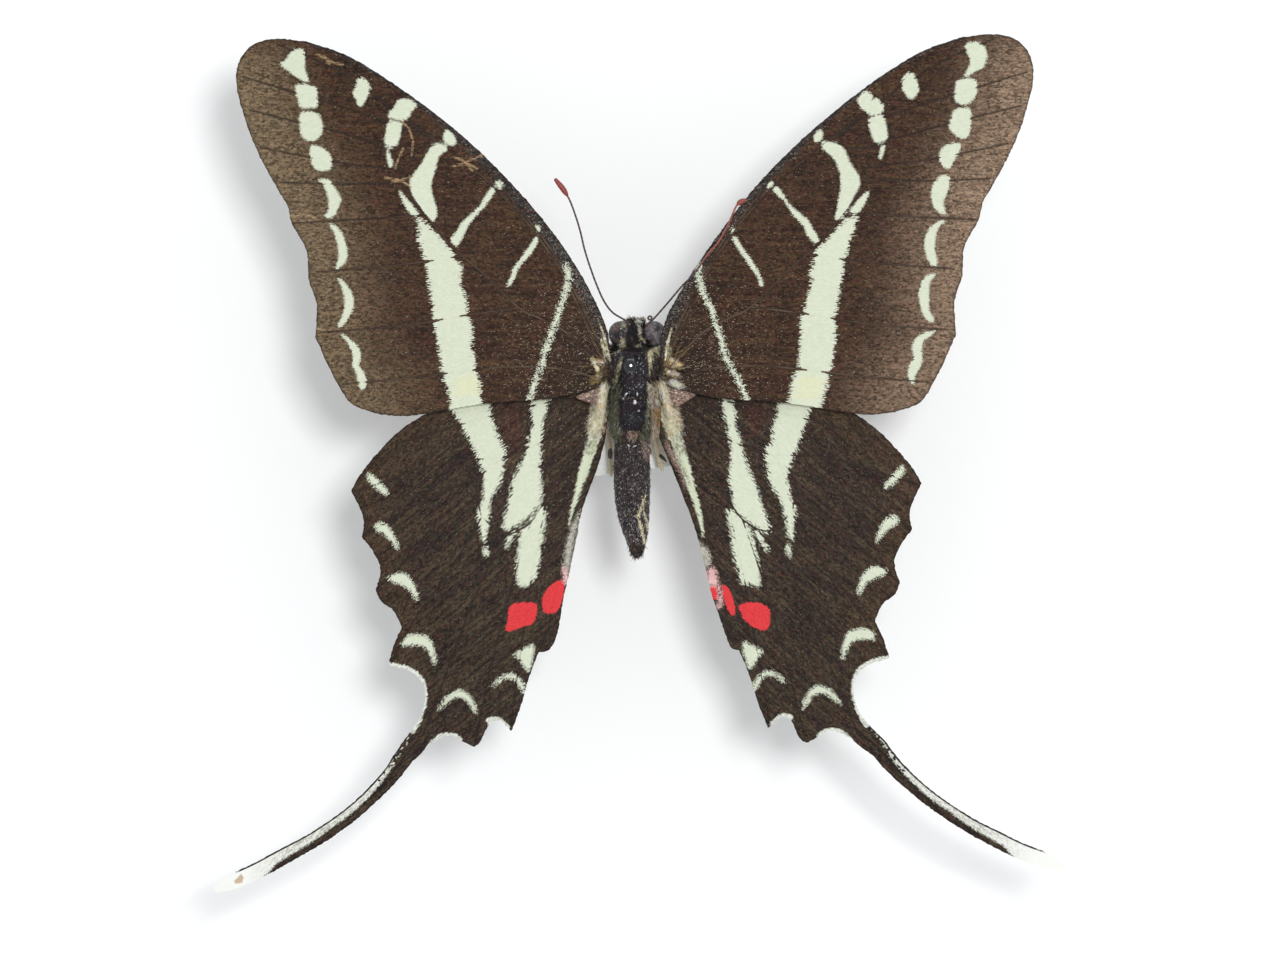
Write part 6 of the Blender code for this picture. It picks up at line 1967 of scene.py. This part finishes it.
def makePin():
    x, y = stand["pinAt"]
    ball = stand["headRadius"]
    neck = stand["pinTop"] - 2 * ball
    profile = [(0.0, stand["pinFoot"]), (0.05, stand["pinFoot"] + 0.1),
               (stand["pinRadius"], stand["pinFoot"] + 2.2),
               (stand["pinRadius"], neck + 0.05)]
    for i in range(15):
        angle = math.radians(-66 + i * 156 / 14)
        profile.append((ball * math.cos(angle), neck + ball + ball * math.sin(angle)))
    profile.append((0.0, stand["pinTop"]))
    bm = bmesh.new()
    row = [bm.verts.new((x + radius, y, z)) for radius, z in profile]
    edges = [bm.edges.new(pair) for pair in zip(row, row[1:])]
    bmesh.ops.spin(bm, geom=row + edges, cent=(x, y, 0), axis=(0, 0, 1), angle=2 * math.pi, steps=40,
                   use_merge=True)
    bmesh.ops.remove_doubles(bm, verts=bm.verts[:], dist=1e-4)
    facet = Vector(stand["facetWay"]).normalized()
    cut = bmesh.ops.bisect_plane(bm, geom=bm.verts[:] + bm.edges[:] + bm.faces[:], plane_no=facet,
                                 clear_outer=True,
                                 plane_co=Vector((x, y, neck + ball)) + facet * ball * stand["facetAt"])
    rim = [e for e in cut["geom_cut"] if isinstance(e, bmesh.types.BMEdge)]
    bmesh.ops.contextual_create(bm, geom=rim)
    bmesh.ops.recalc_face_normals(bm, faces=bm.faces[:])
    mesh = meshFrom("pin", bm)
    softShade(mesh, 50)
    for polygon in mesh.polygons:
        polygon.use_smooth = len(polygon.vertices) < 7  # only the facet is flat
    material, shader = newMaterial("pinEnamel")
    cloud = texture("Noise", 1500)["Fac"]
    finishShader(shader, mixColour(cloud, colour(5, 9, 16), colour(14, 22, 34)),
                 spread(cloud, 0.3, 0.7, 0.13, 0.18), 0.62)
    finishPiece(newObject("pin", mesh), [material], ["stand_pin"])


def slabPiece(name, size, bottom, edge, cuts):
    bm = bmesh.new()
    turn = Matrix.Rotation(math.radians(stand["cardTurn"]), 4, "Z")
    place = Matrix.Translation((*stand["cardAt"], bottom + size[2] / 2)) @ turn
    bmesh.ops.create_cube(bm, size=1.0, matrix=place @ Matrix.Diagonal((*size, 1)))
    bmesh.ops.bevel(bm, geom=bm.edges[:], offset=edge, segments=cuts, profile=0.5, affect="EDGES",
                    material=-1)
    mesh = meshFrom(name, bm)
    softShade(mesh, 50)
    return newObject(name, mesh)


def makeStand():
    makePin()
    material, shader = newMaterial("cardPaper")
    fibres = texture("Noise", 5000, 4)["Fac"]
    tone = mixColour(spread(fibres, 0.35, 0.65), colour(236, 238, 236), colour(247, 248, 246))
    finishShader(shader, tone, 0.85, 0.2, fibres, 0.4, 0.00002)
    finishPiece(slabPiece("card", stand["cardSize"], stand["cardZ"], 0.03, 1), [material],
                ["stand_card"])
    material, shader = newMaterial("foamBlock")
    cells = texture("Voronoi", 3600, feature="F1")["Distance"]
    tone = mixColour(spread(cells, 0.1, 0.7), colour(244, 244, 242), colour(226, 227, 226))
    finishShader(shader, tone, 0.8, 0.2, cells, 0.6, 0.00005)
    finishPiece(slabPiece("foamBlock", stand["blockSize"], 0.0, stand["blockEdge"], 3),
                [material], ["stand_block"])
    print("stand made")


makeStand()


# Floor, light and camera

studio = {
    "floor": colour(251, 252, 252), "world": 0.72, "key": 0.79, "keySize": 0.07,
    "keyFrom": (0.055, 0.04, 0.42), "cameraAt": (0.48, -9.05), "cameraHeight": 372, "frameWidth": 121.9,
}


def makeStudio():
    bm = bmesh.new()
    bmesh.ops.create_grid(bm, x_segments=1, y_segments=1, size=1.5)
    floor = newObject("floor", meshFrom("floor", bm, 1.0))
    material, shader = newMaterial("whitePaper")
    finishShader(shader, studio["floor"], 0.9, 0.1)
    floor.data.materials.append(material)
    scene = bpy.context.scene
    world = bpy.data.worlds.new("softRoom")
    world.use_nodes = True
    world.node_tree.nodes["Background"].inputs[0].default_value = (0.97, 0.985, 1.0, 1)
    world.node_tree.nodes["Background"].inputs[1].default_value = studio["world"]
    scene.world = world
    light = bpy.data.lights.new("softKey", "AREA")
    light.size = studio["keySize"]
    light.energy = studio["key"]
    lamp = newObject("softKey", light)
    lamp.location = studio["keyFrom"]
    lamp.rotation_euler = (Vector(studio["keyFrom"])
                           - Vector((0, -0.005, 0.02))).to_track_quat("Z", "Y").to_euler()
    lens = bpy.data.cameras.new("camera")
    lens.sensor_fit = "HORIZONTAL"
    lens.sensor_width = 36
    lens.lens = 36 * (studio["cameraHeight"] - 22) / studio["frameWidth"]
    lens.clip_start = 0.01
    camera = newObject("camera", lens)
    camera.location = (studio["cameraAt"][0] * millimetre, studio["cameraAt"][1] * millimetre,
                       studio["cameraHeight"] * millimetre)
    scene.camera = camera
    scene.view_settings.view_transform = "Standard"
    print("studio made")


makeStudio()
